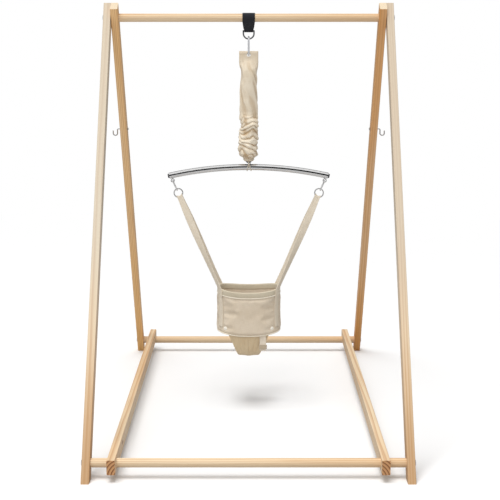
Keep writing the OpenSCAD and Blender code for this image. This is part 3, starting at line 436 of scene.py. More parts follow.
SHARED_FINISHES = (
    (zinc_plate, ("pivot_bolts", "front_dowel_bolts", "rear_dowel_bolts", "side_hook_nuts")),
    (nylon, ("pivot_washers",)),
    (insert_brass, ("front_frame_inserts", "rear_dowel_inserts")),
    (satin_steel, ("carabiner", "carabiner_gate")),
    (bright_steel, (
        "side_hook_left", "side_hook_right", "spreader_bar", "bar_eyes",
        "snap_hook_left", "snap_hook_right", "snap_gate_left", "snap_gate_right", "strap_rings",
    )),
    (gunmetal, ("d_ring", "carabiner_pin", "snap_pins")),
    (grey_plastic, ("bar_end_plugs",)),
    (white_plastic, ("press_studs",)),
    (horn_plastic, ("adjuster_buckle",)),
)
for shared, names in SHARED_FINISHES:
    for name in names:
        NODE_FINISH[name] = shared
for name, finish in NODE_FINISH.items():
    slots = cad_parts[name].data.materials
    slots.clear()
    slots.append(finish.material)


# Mesh helpers

def rise(value, start, end):
    """0 at start and 1 at end, with a smooth step from one to the other."""
    t = min(max((value - start) / (end - start), 0.0), 1.0)
    return t * t * (3 - 2 * t)


def ease(t):
    return rise(t, 0, 1)


def mix(a, b, t):
    return a + (b - a) * t


def evenly(a, b, steps):
    """Values from a to b in equal steps, with both ends."""
    return [mix(a, b, i / steps) for i in range(steps + 1)]


def polar(radius, angle, z):
    return Vector((radius * math.cos(angle), radius * math.sin(angle), z))


def signed_power(value, power):
    return math.copysign(abs(value) ** power, value)


def lengths(points, closed=False):
    """Distance of each point along its path, and the path's whole length last."""
    ring = list(points) + [points[0]] if closed else list(points)
    steps = [(b - a).length for a, b in zip(ring, ring[1:])]
    return [0.0, *np.cumsum(steps)]


def sample(points, along, at):
    """Point of a path at a distance along it."""
    at = min(max(at, 0.0), along[-1])
    i = min(int(np.searchsorted(along, at, "right")) - 1, len(points) - 2)
    step = along[i + 1] - along[i]
    return points[i].lerp(points[i + 1], (at - along[i]) / step)


def cloth_grid(columns, rows, shape, across, down, held=None, crest=None):
    """Grid of cloth, warped by functions of a column and a row. Edges that meet are sewn together.

    shape gives a point, and across and down its column's and its row's place on the flat cloth.
    held says how firmly the point stays, and crest is 0 in a crease; the sleeve's finish paints shade there.
    """
    bm = bmesh.new()
    texture = bm.loops.layers.uv.new("cloth")
    marks = []
    for name, mark in (("held", held), ("crest", crest)):
        if mark:
            marks.append((bm.verts.layers.float.new(name), mark))
    bmesh.ops.create_grid(bm, x_segments=columns, y_segments=rows, size=1)
    place = {v: (round((v.co.x + 1) / 2 * columns), round((v.co.y + 1) / 2 * rows)) for v in bm.verts}
    for face in bm.faces:
        for loop in face.loops:
            column, row = place[loop.vert]
            loop[texture].uv = (across[column], down[row])
    for vert, (column, row) in place.items():
        vert.co = shape(column, row)
        for layer, mark in marks:
            vert[layer] = mark(column, row)
    bmesh.ops.remove_doubles(bm, verts=bm.verts, dist=1e-6)
    bmesh.ops.recalc_face_normals(bm, faces=bm.faces)
    return bm


def close_ends(bm):
    """Fills the open ends of a tube."""
    bmesh.ops.holes_fill(bm, edges=[edge for edge in bm.edges if edge.is_boundary], sides=0)
    bmesh.ops.recalc_face_normals(bm, faces=bm.faces)
    return bm


def sweep(stations, section, closed=False):
    """Carries a section along stations of (middle, across, out, bow) and closes the ends.

    section lists (across, out) places round the piece, and bow lifts it by the square of its place across.
    """
    half_width = stations[0][1].length
    half_depth = stations[0][2].length
    widths = lengths([Vector((s * half_width, t * half_depth, 0)) for s, t in section], True)
    along = lengths([station[0] for station in stations], closed)

    def shape(column, row):
        middle, across, out, bow = stations[row % len(stations)]
        s, t = section[column % len(section)]
        return middle + s * across + t * out + s * s * bow

    bm = cloth_grid(len(section), len(along) - 1, shape, widths, along)
    return bm if closed else close_ends(bm)


def flat_section(columns, edge):
    """Section of webbing from -1 to 1 both ways; each rounded edge takes a share of half its width."""
    half = [(across, 1.0) for across in evenly(-1 + edge, 1 - edge, columns)]
    for angle in evenly(math.pi / 2, -math.pi / 2, 6)[1:-1]:
        half.append((1 - edge + edge * math.cos(angle), math.sin(angle)))
    return half + [(-s, -t) for s, t in half]


def cord_stations(points, radius, closed=False):
    """Stations for a round section along a path, turned as little as possible from one to the next."""
    count = len(points)
    stations = []
    across = None
    for i, point in enumerate(points):
        before = points[i - 1] if closed or i else point
        after = points[(i + 1) % count] if closed or i + 1 < count else point
        tangent = (after - before).normalized()
        guess = across if across else tangent.orthogonal()
        across = (guess - guess.dot(tangent) * tangent).normalized()
        stations.append((point, radius * across, radius * tangent.cross(across), Vector()))
    return stations


def rod(points, radius, sides, closed=False):
    """Round wire or cord along a path."""
    section = [(math.cos(TURN * i / sides), math.sin(TURN * i / sides)) for i in range(sides)]
    return sweep(cord_stations(points, radius, closed), section, closed)


def stitches(lines, length, gap, radius):
    """Stitches along lines of points: each is a slim bead that lies along its line."""
    bm = bmesh.new()
    for points in lines:
        along = lengths(points)
        count = max(1, int(along[-1] / (length + gap)))
        for i in range(count):
            at = (i + 0.5) * along[-1] / count
            first = sample(points, along, at - length / 2)
            last = sample(points, along, at + length / 2)
            run = last - first
            size = Matrix.Diagonal((run.length / 2, radius, radius, 1))
            turn = run.to_track_quat("X", "Z").to_matrix().to_4x4()
            place = Matrix.Translation((first + last) / 2) @ turn @ size
            bmesh.ops.create_icosphere(bm, subdivisions=1, radius=1, matrix=place)
    return bm


def join(parts):
    """One bmesh from several, which are freed."""
    whole = bmesh.new()
    for part in parts:
        holder = bpy.data.meshes.new("part")
        part.to_mesh(holder)
        part.free()
        whole.from_mesh(holder)
        bpy.data.meshes.remove(holder)
    return whole


def to_object(name, bm, finish=None):
    """Object from a bmesh, which is freed."""
    mesh = bpy.data.meshes.new(name)
    bm.to_mesh(mesh)
    bm.free()
    if finish:
        mesh.materials.append(finish.material)
    obj = bpy.data.objects.new(name, mesh)
    scene.collection.objects.link(obj)
    return obj


def piece(name, bm, finish, body=None, replaces=()):
    """Object with its finish, its body and the solids it stands for."""
    obj = to_object(name, bm, finish)
    obj.data.shade_smooth()
    if replaces:
        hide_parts(*replaces)
    if body:
        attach(obj, body)
    return obj


# Cloth is settled at ten times its size, where the solver's least distances are small beside it
SETTLE_SCALE = 10
CORE_GAP = 0.01
SETTLE_CLOTH = {
    "vertex_group_mass": "held", "quality": 6, "mass": 0.3, "air_damping": 2,
    "tension_stiffness": 15, "compression_stiffness": 15, "shear_stiffness": 6,
}


def points_of(mesh):
    flat = np.empty(len(mesh.vertices) * 3)
    mesh.vertices.foreach_get("co", flat)
    return flat.reshape(-1, 3)


def settle(obj, frames, cap, settings, make_core=None):
    """Lets the cloth solver find a piece's shape, in which no point moves further than cap.

    The cloth rests on a core, if there is one.
    """
    start = points_of(obj.data)
    work = bpy.data.objects.new("settling", obj.data.copy())
    work.data.transform(Matrix.Scale(SETTLE_SCALE, 4))
    scene.collection.objects.link(work)
    group = work.vertex_groups.new(name="held")
    for index, mark in enumerate(work.data.attributes["held"].data):
        group.add([index], mark.value, "REPLACE")
    cloth = work.modifiers.new("cloth", "CLOTH")
    cloth.settings.effector_weights.gravity = 0
    for key, value in {**SETTLE_CLOTH, **settings}.items():
        setattr(cloth.settings, key, value)
    cloth.point_cache.frame_start = 1
    cloth.point_cache.frame_end = frames
    core = make_core() if make_core else None
    if core:
        cloth.collision_settings.distance_min = CORE_GAP
        cloth.collision_settings.collision_quality = 2
        core.data.transform(Matrix.Scale(SETTLE_SCALE, 4))
        core.modifiers.new("collision", "COLLISION")
        core.collision.thickness_outer = CORE_GAP
        core.collision.damping = 0.8
    else:
        cloth.collision_settings.use_collision = False
    for number in range(1, frames + 1):
        scene.frame_set(number)
    seen = work.evaluated_get(bpy.context.evaluated_depsgraph_get())
    moved = points_of(seen.data) / SETTLE_SCALE - start
    scene.frame_set(1)
    bpy.data.objects.remove(work)
    if core:
        bpy.data.objects.remove(core)
    far = np.linalg.norm(moved, axis=1, keepdims=True)
    settled = start + moved * np.minimum(1, cap / np.maximum(far, 1e-9))
    obj.data.vertices.foreach_set("co", settled.ravel())
    obj.data.update()


def finish_cloth(obj, thickness=0.0):
    """Gives cloth its thickness, smooths it and keeps the result as its mesh."""
    held = obj.data.attributes.get("held")
    if held:
        obj.data.attributes.remove(held)
    if thickness:
        wall = obj.modifiers.new("wall", "SOLIDIFY")
        wall.thickness = thickness
        wall.offset = 0
    smooth = obj.modifiers.new("smooth", "SUBSURF")
    smooth.levels = 1
    smooth.render_levels = 1
    seen = obj.evaluated_get(bpy.context.evaluated_depsgraph_get())
    mesh = bpy.data.meshes.new_from_object(seen)
    obj.modifiers.clear()
    obj.data = mesh
    mesh.name = obj.name


# Stitches by length, gap and radius
HANGER_STITCH = (2.6 * MM, 0.6 * MM, 0.4 * MM)
HEADER_STITCH = (2.6 * MM, 0.9 * MM, 0.4 * MM)
STRAP_STITCH = (3.0 * MM, 1.0 * MM, 0.45 * MM)
SEAT_STITCH = (3.0 * MM, 1.0 * MM, 0.4 * MM)
TAB_STITCH = (2.4 * MM, 0.8 * MM, 0.35 * MM)


# Hanger: a webbing loop round the top dowel and the D-ring's bar

HANGER_STEPS = 120
HANGER_LOW_HALF = (dring_hi.x - dring_lo.x) / 2 - DRING_WIRE - 2 * PLAY
HANGER_TACKS = (0.30, 0.42, 0.54)
TACK_EDGE = 3 * MM
TACK_OUT = WEBBING_T / 2 + 0.1 * MM


def belt(r_top, z_top, r_low, z_low):
    """Points and outward directions of a loop round two level bars, from the top round the front."""
    drop = z_top - z_low
    lean = math.asin((r_top - r_low) / drop)
    run = drop * math.cos(lean)
    top_arc = r_top * (math.pi / 2 + lean)
    low_arc = r_low * (math.pi / 2 - lean)
    loop = []
    for i in range(HANGER_STEPS):
        side = 1 if 2 * i <= HANGER_STEPS else -1
        s = 2 * (top_arc + run + low_arc) * min(i, HANGER_STEPS - i) / HANGER_STEPS
        angle = math.pi / 2 + min(s, top_arc) / r_top + max(0.0, s - top_arc - run) / r_low
        out = Vector((0, side * math.cos(angle), math.sin(angle)))
        forward = Vector((0, -side * math.sin(angle), math.cos(angle)))
        if s < top_arc + run:
            point = Vector((0, 0, z_top)) + r_top * out + max(0.0, s - top_arc) * forward
        else:
            point = Vector((0, 0, z_low)) + r_low * out
        loop.append((point, out))
    return loop


def hanger_half(z):
    """Half the webbing's width at a height: drawn in towards the ring."""
    low = DRING_Z + DRING_WIRE / 2
    up = min(max((z - low) / (PIVOT_Z - DOWEL_R - low), 0), 1)
    return mix(HANGER_LOW_HALF, HANGER_HALF, up ** 0.5)


hanger_gap = PLAY + WEBBING_T / 2
hanger_loop = belt(DOWEL_R + hanger_gap, PIVOT_Z, DRING_WIRE / 2 + hanger_gap, DRING_Z)
hanger_stations = [
    (p, Vector((hanger_half(p.z), 0, 0)), out * WEBBING_T / 2, Vector()) for p, out in hanger_loop
]
hanger_bm = sweep(hanger_stations, flat_section(16, 0.05), True)
piece("hanger_webbing", hanger_bm, black_webbing, "hanger", ["hanger_strap"])

tack_lines = []
for share in HANGER_TACKS:
    tack_z = mix(DRING_Z, PIVOT_Z, share)
    front = min((p for p, out in hanger_loop if p.y < 0), key=lambda p: abs(p.z - tack_z))
    half = hanger_half(front.z) - TACK_EDGE
    for side in (1, -1):
        y = side * (front.y - TACK_OUT)
        tack_lines.append([Vector((-half, y, front.z)), Vector((half, y, front.z))])
piece("hanger_tacks", stitches(tack_lines, *HANGER_STITCH), black_thread, "hanger")


# Spring: end loops, stems, elbows and coils, drawn in at both ends

LOOP_SWEEP = math.radians(255)
LEAD_R = math.hypot(SPRING_LOOP_R, STEM_BEND)
LEAD_TURN = math.atan2(STEM_BEND, -SPRING_LOOP_R)
SPRING_MID = (SPRING_TOP + SPRING_LOW) / 2
COIL_TOP = SPRING_TOP - SPRING_LOOP_R - SPRING_STEM - STEM_BEND
COIL_LOW = 2 * SPRING_MID - COIL_TOP
COIL_TURNS = SPRING_TURNS + 2 * LEAD_TURN / TURN


def spring_path():
    """Middle of the wire, from the end of the top loop to the end of the foot's."""
    end = []
    for angle in evenly(LOOP_SWEEP, 0, 32):
        z = SPRING_TOP - SPRING_LOOP_R + SPRING_LOOP_R * math.sin(angle)
        end.append(Vector((-SPRING_LOOP_R * math.cos(angle), 0, z)))
    for angle in evenly(0, math.pi / 2, 9)[:-1]:
        z = COIL_TOP + STEM_BEND * (1 - math.sin(angle))
        end.append(Vector((-SPRING_LOOP_R, STEM_BEND * (1 - math.cos(angle)), z)))
    coils = []
    for turn in evenly(0, COIL_TURNS, round(20 * COIL_TURNS)):
        radius = mix(LEAD_R, SPRING_R, ease(2 * min(turn, COIL_TURNS - turn)))
        coils.append(polar(radius, LEAD_TURN - TURN * turn, mix(COIL_TOP, COIL_LOW, turn / COIL_TURNS)))
    foot = [Vector((p.x, -p.y, 2 * SPRING_MID - p.z)) for p in reversed(end)]
    return end + coils + foot


spring_bm = rod(spring_path(), SPRING_WIRE / 2, 10)
spring = piece("spring_coils", spring_bm, spring_wire, None, ["spring"])
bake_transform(spring)


# Sleeve: one cloth tube, flat and hemmed at the header, round the spring below it and gathered at the neck

SLEEVE_ROUND = HEADER_HALF * 4.2 / TURN
SLEEVE_WIDE = 1.16
FLAT_TO_ROUND = 60 * MM
HEM_H = 8 * MM
SHUT_H = 4 * MM
BUNCH_TOP = mix(SLEEVE_LOW, COIL_TOP + SPRING_WIRE, 0.56)
BUNCH_RUN = 45 * MM
BUNCH_SLACK = 1.75
UPPER_SLACK = 1.05
BUNCH_LOOSE = 3.4 * MM
BUNCH_SWAY = 2 * MM
FOLD_PITCH = 15 * MM
FOLD_DEPTH = 7.4 * MM
FOLD_DROOP = 4.5 * MM
NECK_R = 13.75 * MM
NECK_DRAW = 20 * MM
NECK_PLEAT = 0.75 * MM
PLEATS = 12
SLEEVE_TWIST = math.radians(70)
SLEEVE_COLUMNS = 60
SLEEVE_ROWS = 180
CORE_R = SPRING_R + SPRING_WIRE / 4
CORE_SIDES = 32
EYELET_Z = HEADER_LOW + 16 * MM
EYELET_R = 6.25 * MM


def cut_slack(z):
    """Length of cloth for each length of the hanging sleeve, at a height."""
    if z > HEADER_LOW:
        return 1.0
    return mix(UPPER_SLACK, BUNCH_SLACK, rise(z, BUNCH_TOP + 20 * MM, BUNCH_TOP - 40 * MM))


# Height of each row of the cloth, whose rows are even in the cut
fine_z = np.linspace(HEADER_TOP, SLEEVE_LOW, 800)
slack = np.array([cut_slack(z) for z in fine_z])
fine_cut = np.concatenate([[0.0], np.cumsum(slack[1:] * -np.diff(fine_z))])
SLEEVE_CUT = float(fine_cut[-1])
row_cut = evenly(0, SLEEVE_CUT, SLEEVE_ROWS)
row_z = np.interp(row_cut, fine_cut, fine_z).tolist()


def header_depth(z):
    """Half the flat tube's depth at a height: thicker at the hem, and sewn shut along its top."""
    hem = 0.5 * MM * rise(z, HEADER_TOP - HEM_H - 1 * MM, HEADER_TOP - HEM_H)
    return mix(3.2 * MM + hem, 0.52 * CLOTH_T, rise(z, HEADER_TOP - SHUT_H, HEADER_TOP))


def flat_bow(x):
    """Share of the flat tube's depth at a place across it, from -1 to 1."""
    return (1 - abs(x) ** 6) ** 0.5


def sleeve_flat_point(share, z):
    """Point of the flat tube at a share of the way round, from its right edge over its back."""
    lap = share * 4
    x = 1 - lap if lap < 2 else lap - 3
    y = header_depth(z) * flat_bow(x)
    return Vector(((HEADER_HALF - CLOTH_T / 2) * x, y if lap < 2 else -y, z))


def flatness(z):
    """How flat the tube is from front to back at a height: 1 in the header, 0 round the spring."""
    return rise(z, COIL_TOP - 3 * MM, HEADER_LOW + 9 * MM)


def bunching(z):
    """How bunched the tube is at a height."""
    return rise(z, BUNCH_TOP, BUNCH_TOP - BUNCH_RUN)


def drift(angle, z, across, along, seed):
    """Smooth wander from -1 to 1 over the sleeve's surface, the same all the way round."""
    place = (across * math.cos(angle) + seed, across * math.sin(angle), z / along)
    return noise.noise(Vector(place)) * 1.6


def upper_creases(angle, z):
    """Long slanted creases that the flat header leaves in the tube below it."""
    slant = angle + z / (70 * MM)
    broad = 1 - min(1.0, 1.6 * abs(drift(slant, z, 1.3, 110 * MM, 4.0)))
    fine = 1 - min(1.0, 2.2 * abs(drift(slant + 0.6, z, 2.2, 60 * MM, 9.0)))
    return 3.2 * MM * ease(broad) + 0.9 * MM * ease(fine)


def bunched_fold(angle, z):
    """How far the bunched cloth stands out at a place, from 0 in a crease to 1 on a fold."""
    down = (BUNCH_TOP - z) / FOLD_PITCH
    lean = 0.55 * math.sin(angle + 0.9 + 0.5 * down) + 0.22 * math.sin(2 * angle - 0.8 * down)
    phase = down + lean + 0.6 * drift(angle, z, 1.2, 42 * MM, 1.0)
    depth = min(1.0, max(0.15, 0.62 + 0.7 * drift(angle, z, 1.3, 26 * MM, 6.0)))
    return depth * abs(math.sin(math.pi * phase)) ** 0.7


def sleeve_angle(column, row):
    """Angle of a point round the sleeve, which is twisted below the header."""
    twist = SLEEVE_TWIST * rise(row_z[row], HEADER_LOW, NECK_Z)
    return TURN * (column % SLEEVE_COLUMNS) / SLEEVE_COLUMNS + twist


def sleeve_point(column, row):
    """Point of the sleeve: flat at the header, round the spring, bunched below, drawn in at the neck."""
    z = row_z[row]
    angle = sleeve_angle(column, row)
    bunch = bunching(z)
    drawn = rise(z, NECK_Z + NECK_DRAW, NECK_Z)
    fold = bunch * bunched_fold(angle, z)
    loose = mix(upper_creases(angle, z), 1.2 * MM * drift(angle, z, 2.4, 9 * MM, 3.0), bunch)
    full = SLEEVE_ROUND + bunch * BUNCH_LOOSE + FOLD_DEPTH * fold + loose
    radius = mix(full, NECK_R + NECK_PLEAT * math.sin(PLEATS * angle), drawn ** 1.5)
    wide = mix(SLEEVE_WIDE, 1, max(bunch, drawn))
    flat = sleeve_flat_point(column % SLEEVE_COLUMNS / SLEEVE_COLUMNS, z)
    x = mix(radius * wide * math.cos(angle), flat.x, rise(z, HEADER_LOW - FLAT_TO_ROUND, HEADER_LOW))
    y = mix(radius / wide * math.sin(angle), flat.y, flatness(z))
    sway = bunch * (1 - drawn) * BUNCH_SWAY * math.sin((BUNCH_TOP - z) / (24 * MM))
    return Vector((x + sway, y, z - FOLD_DROOP * fold * (1 - drawn)))


def sleeve_crest(column, row):
    """How far a point is from the bottom of a crease, from 0 to 1, which sets where the sleeve's finish
    paints shade.
    """
    z = row_z[row]
    angle = sleeve_angle(column, row)
    bunch = bunching(z) * rise(z, NECK_Z, NECK_Z + 12 * MM)
    upper = mix(ease(upper_creases(angle, z) / (2.2 * MM)), 0.6, flatness(z))
    return mix(0.5 + 0.42 * upper, ease(2.2 * bunched_fold(angle, z)), bunch)


def sleeve_held(column, row):
    """1 in the header and at the neck."""
    z = row_z[row]
    return float(z > HEADER_LOW - 2 * MM or z < NECK_Z + 2.5 * MM)


def spring_core():
    """Smooth core that the sleeve's cloth rests on: the outside of the spring."""
    profile = [
        (1 * MM, HEADER_LOW), (CORE_R, COIL_TOP + 2 * MM), (CORE_R, NECK_Z + 18 * MM), (8 * MM, NECK_Z),
    ]
    unmapped = [0] * (CORE_SIDES + 1)

    def shape(column, row):
        radius, z = profile[row]
        return polar(radius, TURN * (column % CORE_SIDES) / CORE_SIDES, z)

    return to_object("core", cloth_grid(CORE_SIDES, len(profile) - 1, shape, unmapped, unmapped))


def cut_eyelet(obj):
    """Opens the eyelet through both plies of the header, and rounds its edge."""
    bm = bmesh.new()
    bm.from_mesh(obj.data)

    def off(point):
        return Vector((point.x, 0, point.z - EYELET_Z))

    inside = [f for f in bm.faces if off(f.calc_center_median()).length < EYELET_R]
    bmesh.ops.delete(bm, geom=inside, context="FACES")
    for vert in bm.verts:
        away = off(vert.co)
        if vert.is_boundary and away.length < 1.6 * EYELET_R:
            vert.co += away * (EYELET_R / away.length - 1)
    bm.to_mesh(obj.data)
    bm.free()


sleeve_bm = cloth_grid(
    SLEEVE_COLUMNS, SLEEVE_ROWS, sleeve_point,
    evenly(0, TURN * SLEEVE_ROUND, SLEEVE_COLUMNS), row_cut, sleeve_held, sleeve_crest,
)
sleeve = piece(
    "spring_sleeve_cloth", sleeve_bm, sleeve_canvas, None, ["spring_sleeve", "sleeve_header"],
)
sleeve_cloth = {"air_damping": 3, "bending_stiffness": 1.5, "shrink_min": -0.05}
settle(sleeve, 14, 3 * MM, sleeve_cloth, spring_core)
cut_eyelet(sleeve)
finish_cloth(sleeve, CLOTH_T)
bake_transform(sleeve)


# Header: a worked rim round the eyelet on both faces, and rows of stitches that hold the hem

RIM_R = 1.0 * MM
RIM_OUT = EYELET_R + 0.3 * MM
RIM_STEPS = 36
HEADER_ROWS = (1.8 * MM, 8.2 * MM)
HEADER_REACH = HEADER_HALF - 3 * MM


def header_face(x, z):
    """Distance from the header's middle plane to its outer face."""
    return header_depth(z) * flat_bow(x / HEADER_HALF) + CLOTH_T / 2


rims = []
header_lines = []
for face in (-1, 1):
    rim_y = face * (header_face(0, EYELET_Z) - RIM_R / 2)
    rim = []
    for i in range(RIM_STEPS):
        angle = TURN * i / RIM_STEPS
        rim.append(Vector((RIM_OUT * math.cos(angle), rim_y, EYELET_Z + RIM_OUT * math.sin(angle))))
    rims.append(rod(rim, RIM_R, 8, True))
    for down in HEADER_ROWS:
        z = HEADER_TOP - down
        places = evenly(-HEADER_REACH, HEADER_REACH, 40)
        header_lines.append([Vector((x, face * header_face(x, z), z)) for x in places])
piece("sleeve_eyelet", join(rims), cream_thread, "carabiner_link")
header_bm = stitches(header_lines, *HEADER_STITCH)
piece("header_stitching", header_bm, cream_thread, "carabiner_link")


# Cords: a ring round the sleeve's neck, and the lashing that ties the spring's foot to the bar

STRANDS = 3
TIE_R = tie_hi.x - TIE_D / 2
TIE_Z = (tie_lo.z + tie_hi.z) / 2
TIE_STEPS = 96
LASH_R = BAR_R + LASH_D / 2 + PLAY
LASH_RISE = SPRING_LOW + SPRING_WIRE / 2 + LASH_D / 2 + 3 * PLAY - BAR_Z - LASH_R
LASH_CROSS = 1.09
LASH_OVER = 0.2


def laid_cord(points, diameter, closed=False):
    """Three strands laid up into one cord."""
    along = lengths(points, closed)
    whole = along[-1]
    turns = whole / (3.2 * diameter)
    if closed:
        turns = round(turns)
    parts = []
    for strand in range(STRANDS):
        path = []
        for station, run in zip(cord_stations(points, 0.25 * diameter, closed), along):
            angle = TURN * (turns * run / whole + strand / STRANDS)
            path.append(station[0] + math.cos(angle) * station[1] + math.sin(angle) * station[2])
        parts.append(rod(path, 0.24 * diameter, 8, closed))
    return join(parts)


def lash_point(t):
    """Point of the lashing after t turns: round the bar, over the spring's loop, crossing once in front."""
    angle = TURN * t
    near = abs(t - LASH_CROSS) / LASH_OVER
    over = 1.35 * LASH_D * math.cos(math.pi / 2 * near) ** 2 if near < 1 else 0.0
    radius = LASH_R + LASH_RISE * max(0.0, math.cos(angle)) ** 3 + over
    aside = 2.35 * math.sin(math.pi * t) - 0.38 * math.cos(math.pi * t) + 0.59 * (t - 1) + 0.38
    return Vector((LASH_D * aside, -radius * math.sin(angle), BAR_Z + radius * math.cos(angle)))


tie_ring = [polar(TIE_R, TURN * i / TIE_STEPS, TIE_Z) for i in range(TIE_STEPS)]
piece("neck_tie", laid_cord(tie_ring, TIE_D, True), cream_cord, "spring_foot", ["sleeve_tie"])
lash_path = [lash_point(step / 24) for step in evenly(-2, 45, 188)]
piece("lashing_cord", laid_cord(lash_path, LASH_D), cream_cord, "bar", ["bar_lashing"])


# Seat band: a padded ring, oblong in plan, whose edges dip in front and behind

PAD_R = BAND_T / 2
BAND_COLUMNS = 148
BAND_ROWS = 36


def oval(a, b, angle):
    power = 2 / OVAL_POWER
    return (a * signed_power(math.cos(angle), power), b * signed_power(math.sin(angle), power))


def edge_dip(x):
    return EDGE_DIP * max(0.0, 1 - (x / BAND_A) ** 2)


def band_point(angle, z, out):
    """Point of the band at an angle and a height, out from the face of its solid."""
    waist = WAIST * math.sin(math.pi * min(max((z - BAND_LOW) / BAND_H, 0), 1))
    x, y = oval(BAND_A + out - waist, BAND_B + out - waist, angle)
    return Vector((x, y, z - edge_dip(x)))


# Angles that step evenly round the band, from the right side over the back
table = evenly(0, TURN, 7200)
round_band = lengths([Vector((*oval(BAND_A, BAND_B, a), 0)) for a in table])
BAND_GIRTH = float(round_band[-1])


def even_angle(share):
    """Angle at a share of the way round the band, measured along it."""
    return float(np.interp((share % 1.0) * BAND_GIRTH, round_band, table))


def girth_at(angle):
    """Distance round the band to an angle."""
    return float(np.interp(angle % TURN, table, round_band))


FRONT_SEWN = girth_at(TURN - SEW_ANGLE)
ALL_SEWN = (FRONT_SEWN, *(girth_at(a) for a in (math.pi + SEW_ANGLE, SEW_ANGLE, math.pi - SEW_ANGLE)))

# Heights and outward places round the band's own section: outer face, top, inner face, foot
rim_angles = evenly(0, math.pi, 5)[1:-1]
outer_face = [(z, 0.0) for z in evenly(BAND_LOW + PAD_R, BAND_TOP - PAD_R, BAND_ROWS)]
band_profile = list(outer_face)
for angle in rim_angles:
    band_profile.append((BAND_TOP - PAD_R + PAD_R * math.sin(angle), PAD_R * (math.cos(angle) - 1)))
band_profile += [(z, -BAND_T) for z, out in reversed(outer_face)]
for angle in rim_angles:
    band_profile.append((BAND_LOW + PAD_R - PAD_R * math.sin(angle), -PAD_R * (math.cos(angle) + 1)))
profile_run = lengths([Vector((z, out, 0)) for z, out in band_profile], True)

# Soft creases in the band's front: where each starts and ends (X, Z), its height and its half width
CREASES = (
    ((-66, 272), (-34, 318), 2.4, 6), ((62, 270), (24, 300), 1.6, 8),
    ((-40, 352), (30, 330), -1.4, 12), ((10, 296), (70, 340), -1.2, 10),
)


def crease_out(x, z):
    """How far the creases lift the band's front face at a place."""
    lift = 0.0
    here = Vector((x, z))
    for start, end, height, half in CREASES:
        first = Vector(start) * MM
        run = Vector(end) * MM - first
        along = min(max((here - first).dot(run) / run.length_squared, 0), 1)
        away = (here - first - along * run).length / (half * MM)
        lift += height * MM * math.exp(-away * away) * (1 - 0.5 * along)
    return lift


def band_shape(column, row):
    z, out = band_profile[row % len(band_profile)]
    angle = even_angle(column % BAND_COLUMNS / BAND_COLUMNS)
    place = band_point(angle, z, out)
    if out or place.y > 0:
        return place
    below_binding = rise(z, BINDING_LOW - 4 * MM, BINDING_LOW - 14 * MM)
    above_foot = rise(z, BAND_LOW + 6 * MM, BAND_LOW + 12 * MM)
    return band_point(angle, z, below_binding * above_foot * crease_out(place.x, place.z))


def band_held(column, row):
    """1 where the outer face is sewn: at its edges and under the straps."""
    z, out = band_profile[row % len(band_profile)]
    if out < -PAD_R:
        return 0.7
    if z > BINDING_LOW - 7 * MM or z < BAND_LOW + 6 * MM:
        return 1.0
    if z < BAND_TOP - STRAP_SEWN:
        return 0.0
    run = BAND_GIRTH * (column % BAND_COLUMNS) / BAND_COLUMNS
    off = min(abs(run - sewn) for sewn in ALL_SEWN)
    return rise(off, STRAP_W / 2 + 8 * MM, STRAP_W / 2)


band_bm = cloth_grid(
    BAND_COLUMNS, len(band_profile), band_shape,
    evenly(0, BAND_GIRTH, BAND_COLUMNS), profile_run, band_held,
)
band = piece("seat_band_cloth", band_bm, seat_canvas, "seat", ["seat_band"])
band_cloth = {
    "bending_stiffness": 6, "shrink_min": -0.035, "use_pressure": True, "uniform_pressure_force": 1.0,
}
settle(band, 24, 5 * MM, band_cloth)
finish_cloth(band)


# Binding over the band's top edge, and piping under it and round the band's lower edge

BIND_T = 1.3 * MM
BIND_OUT = 0.3 * MM
BIND_R = PAD_R + BIND_OUT
BINDING_COLUMNS = 240
PIPING_D = 3.6 * MM
ROUND_STEPS = 260

binding_face = [(z, BIND_OUT) for z in (BINDING_LOW, BAND_TOP - BINDING_H / 2, BAND_TOP - PAD_R)]
binding_fold = list(binding_face)
for angle in evenly(0, math.pi, 6)[1:-1]:
    binding_fold.append((BAND_TOP - PAD_R + BIND_R * math.sin(angle), BIND_R * math.cos(angle) - PAD_R))
binding_fold += [(z, -BAND_T - out) for z, out in reversed(binding_face)]
binding_run = lengths([Vector((z, out, 0)) for z, out in binding_fold])


def binding_shape(column, row):
    z, out = binding_fold[row]
    share = column % BINDING_COLUMNS / BINDING_COLUMNS
    pucker = 0.25 * MM * math.sin(TURN * 61 * share) * math.sin(TURN * 23 * share + 1)
    centre = BIND_T / 2 if out > -PAD_R else -BIND_T / 2
    return band_point(even_angle(share), z, out + centre + pucker * (1 if row < 4 else 0.3))


def round_the_band(z, out):
    return [band_point(even_angle(i / ROUND_STEPS), z, out) for i in range(ROUND_STEPS)]


binding_bm = cloth_grid(
    BINDING_COLUMNS, len(binding_fold) - 1, binding_shape,
    evenly(0, BAND_GIRTH, BINDING_COLUMNS), binding_run,
)
binding = piece("seat_binding_cloth", binding_bm, binding_canvas, "seat", ["seat_binding"])
finish_cloth(binding, BIND_T)

piping_paths = (
    round_the_band(BINDING_LOW - 1.6 * MM, 1.5 * MM), round_the_band(BAND_LOW + 1.2 * MM, 0.8 * MM),
)
piping_bm = join([rod(path, PIPING_D / 2, 10, True) for path in piping_paths])
piece("seat_piping", piping_bm, piping_canvas, "seat")


# Straps: webbing through a ring on each side, sewn to the band in front and behind

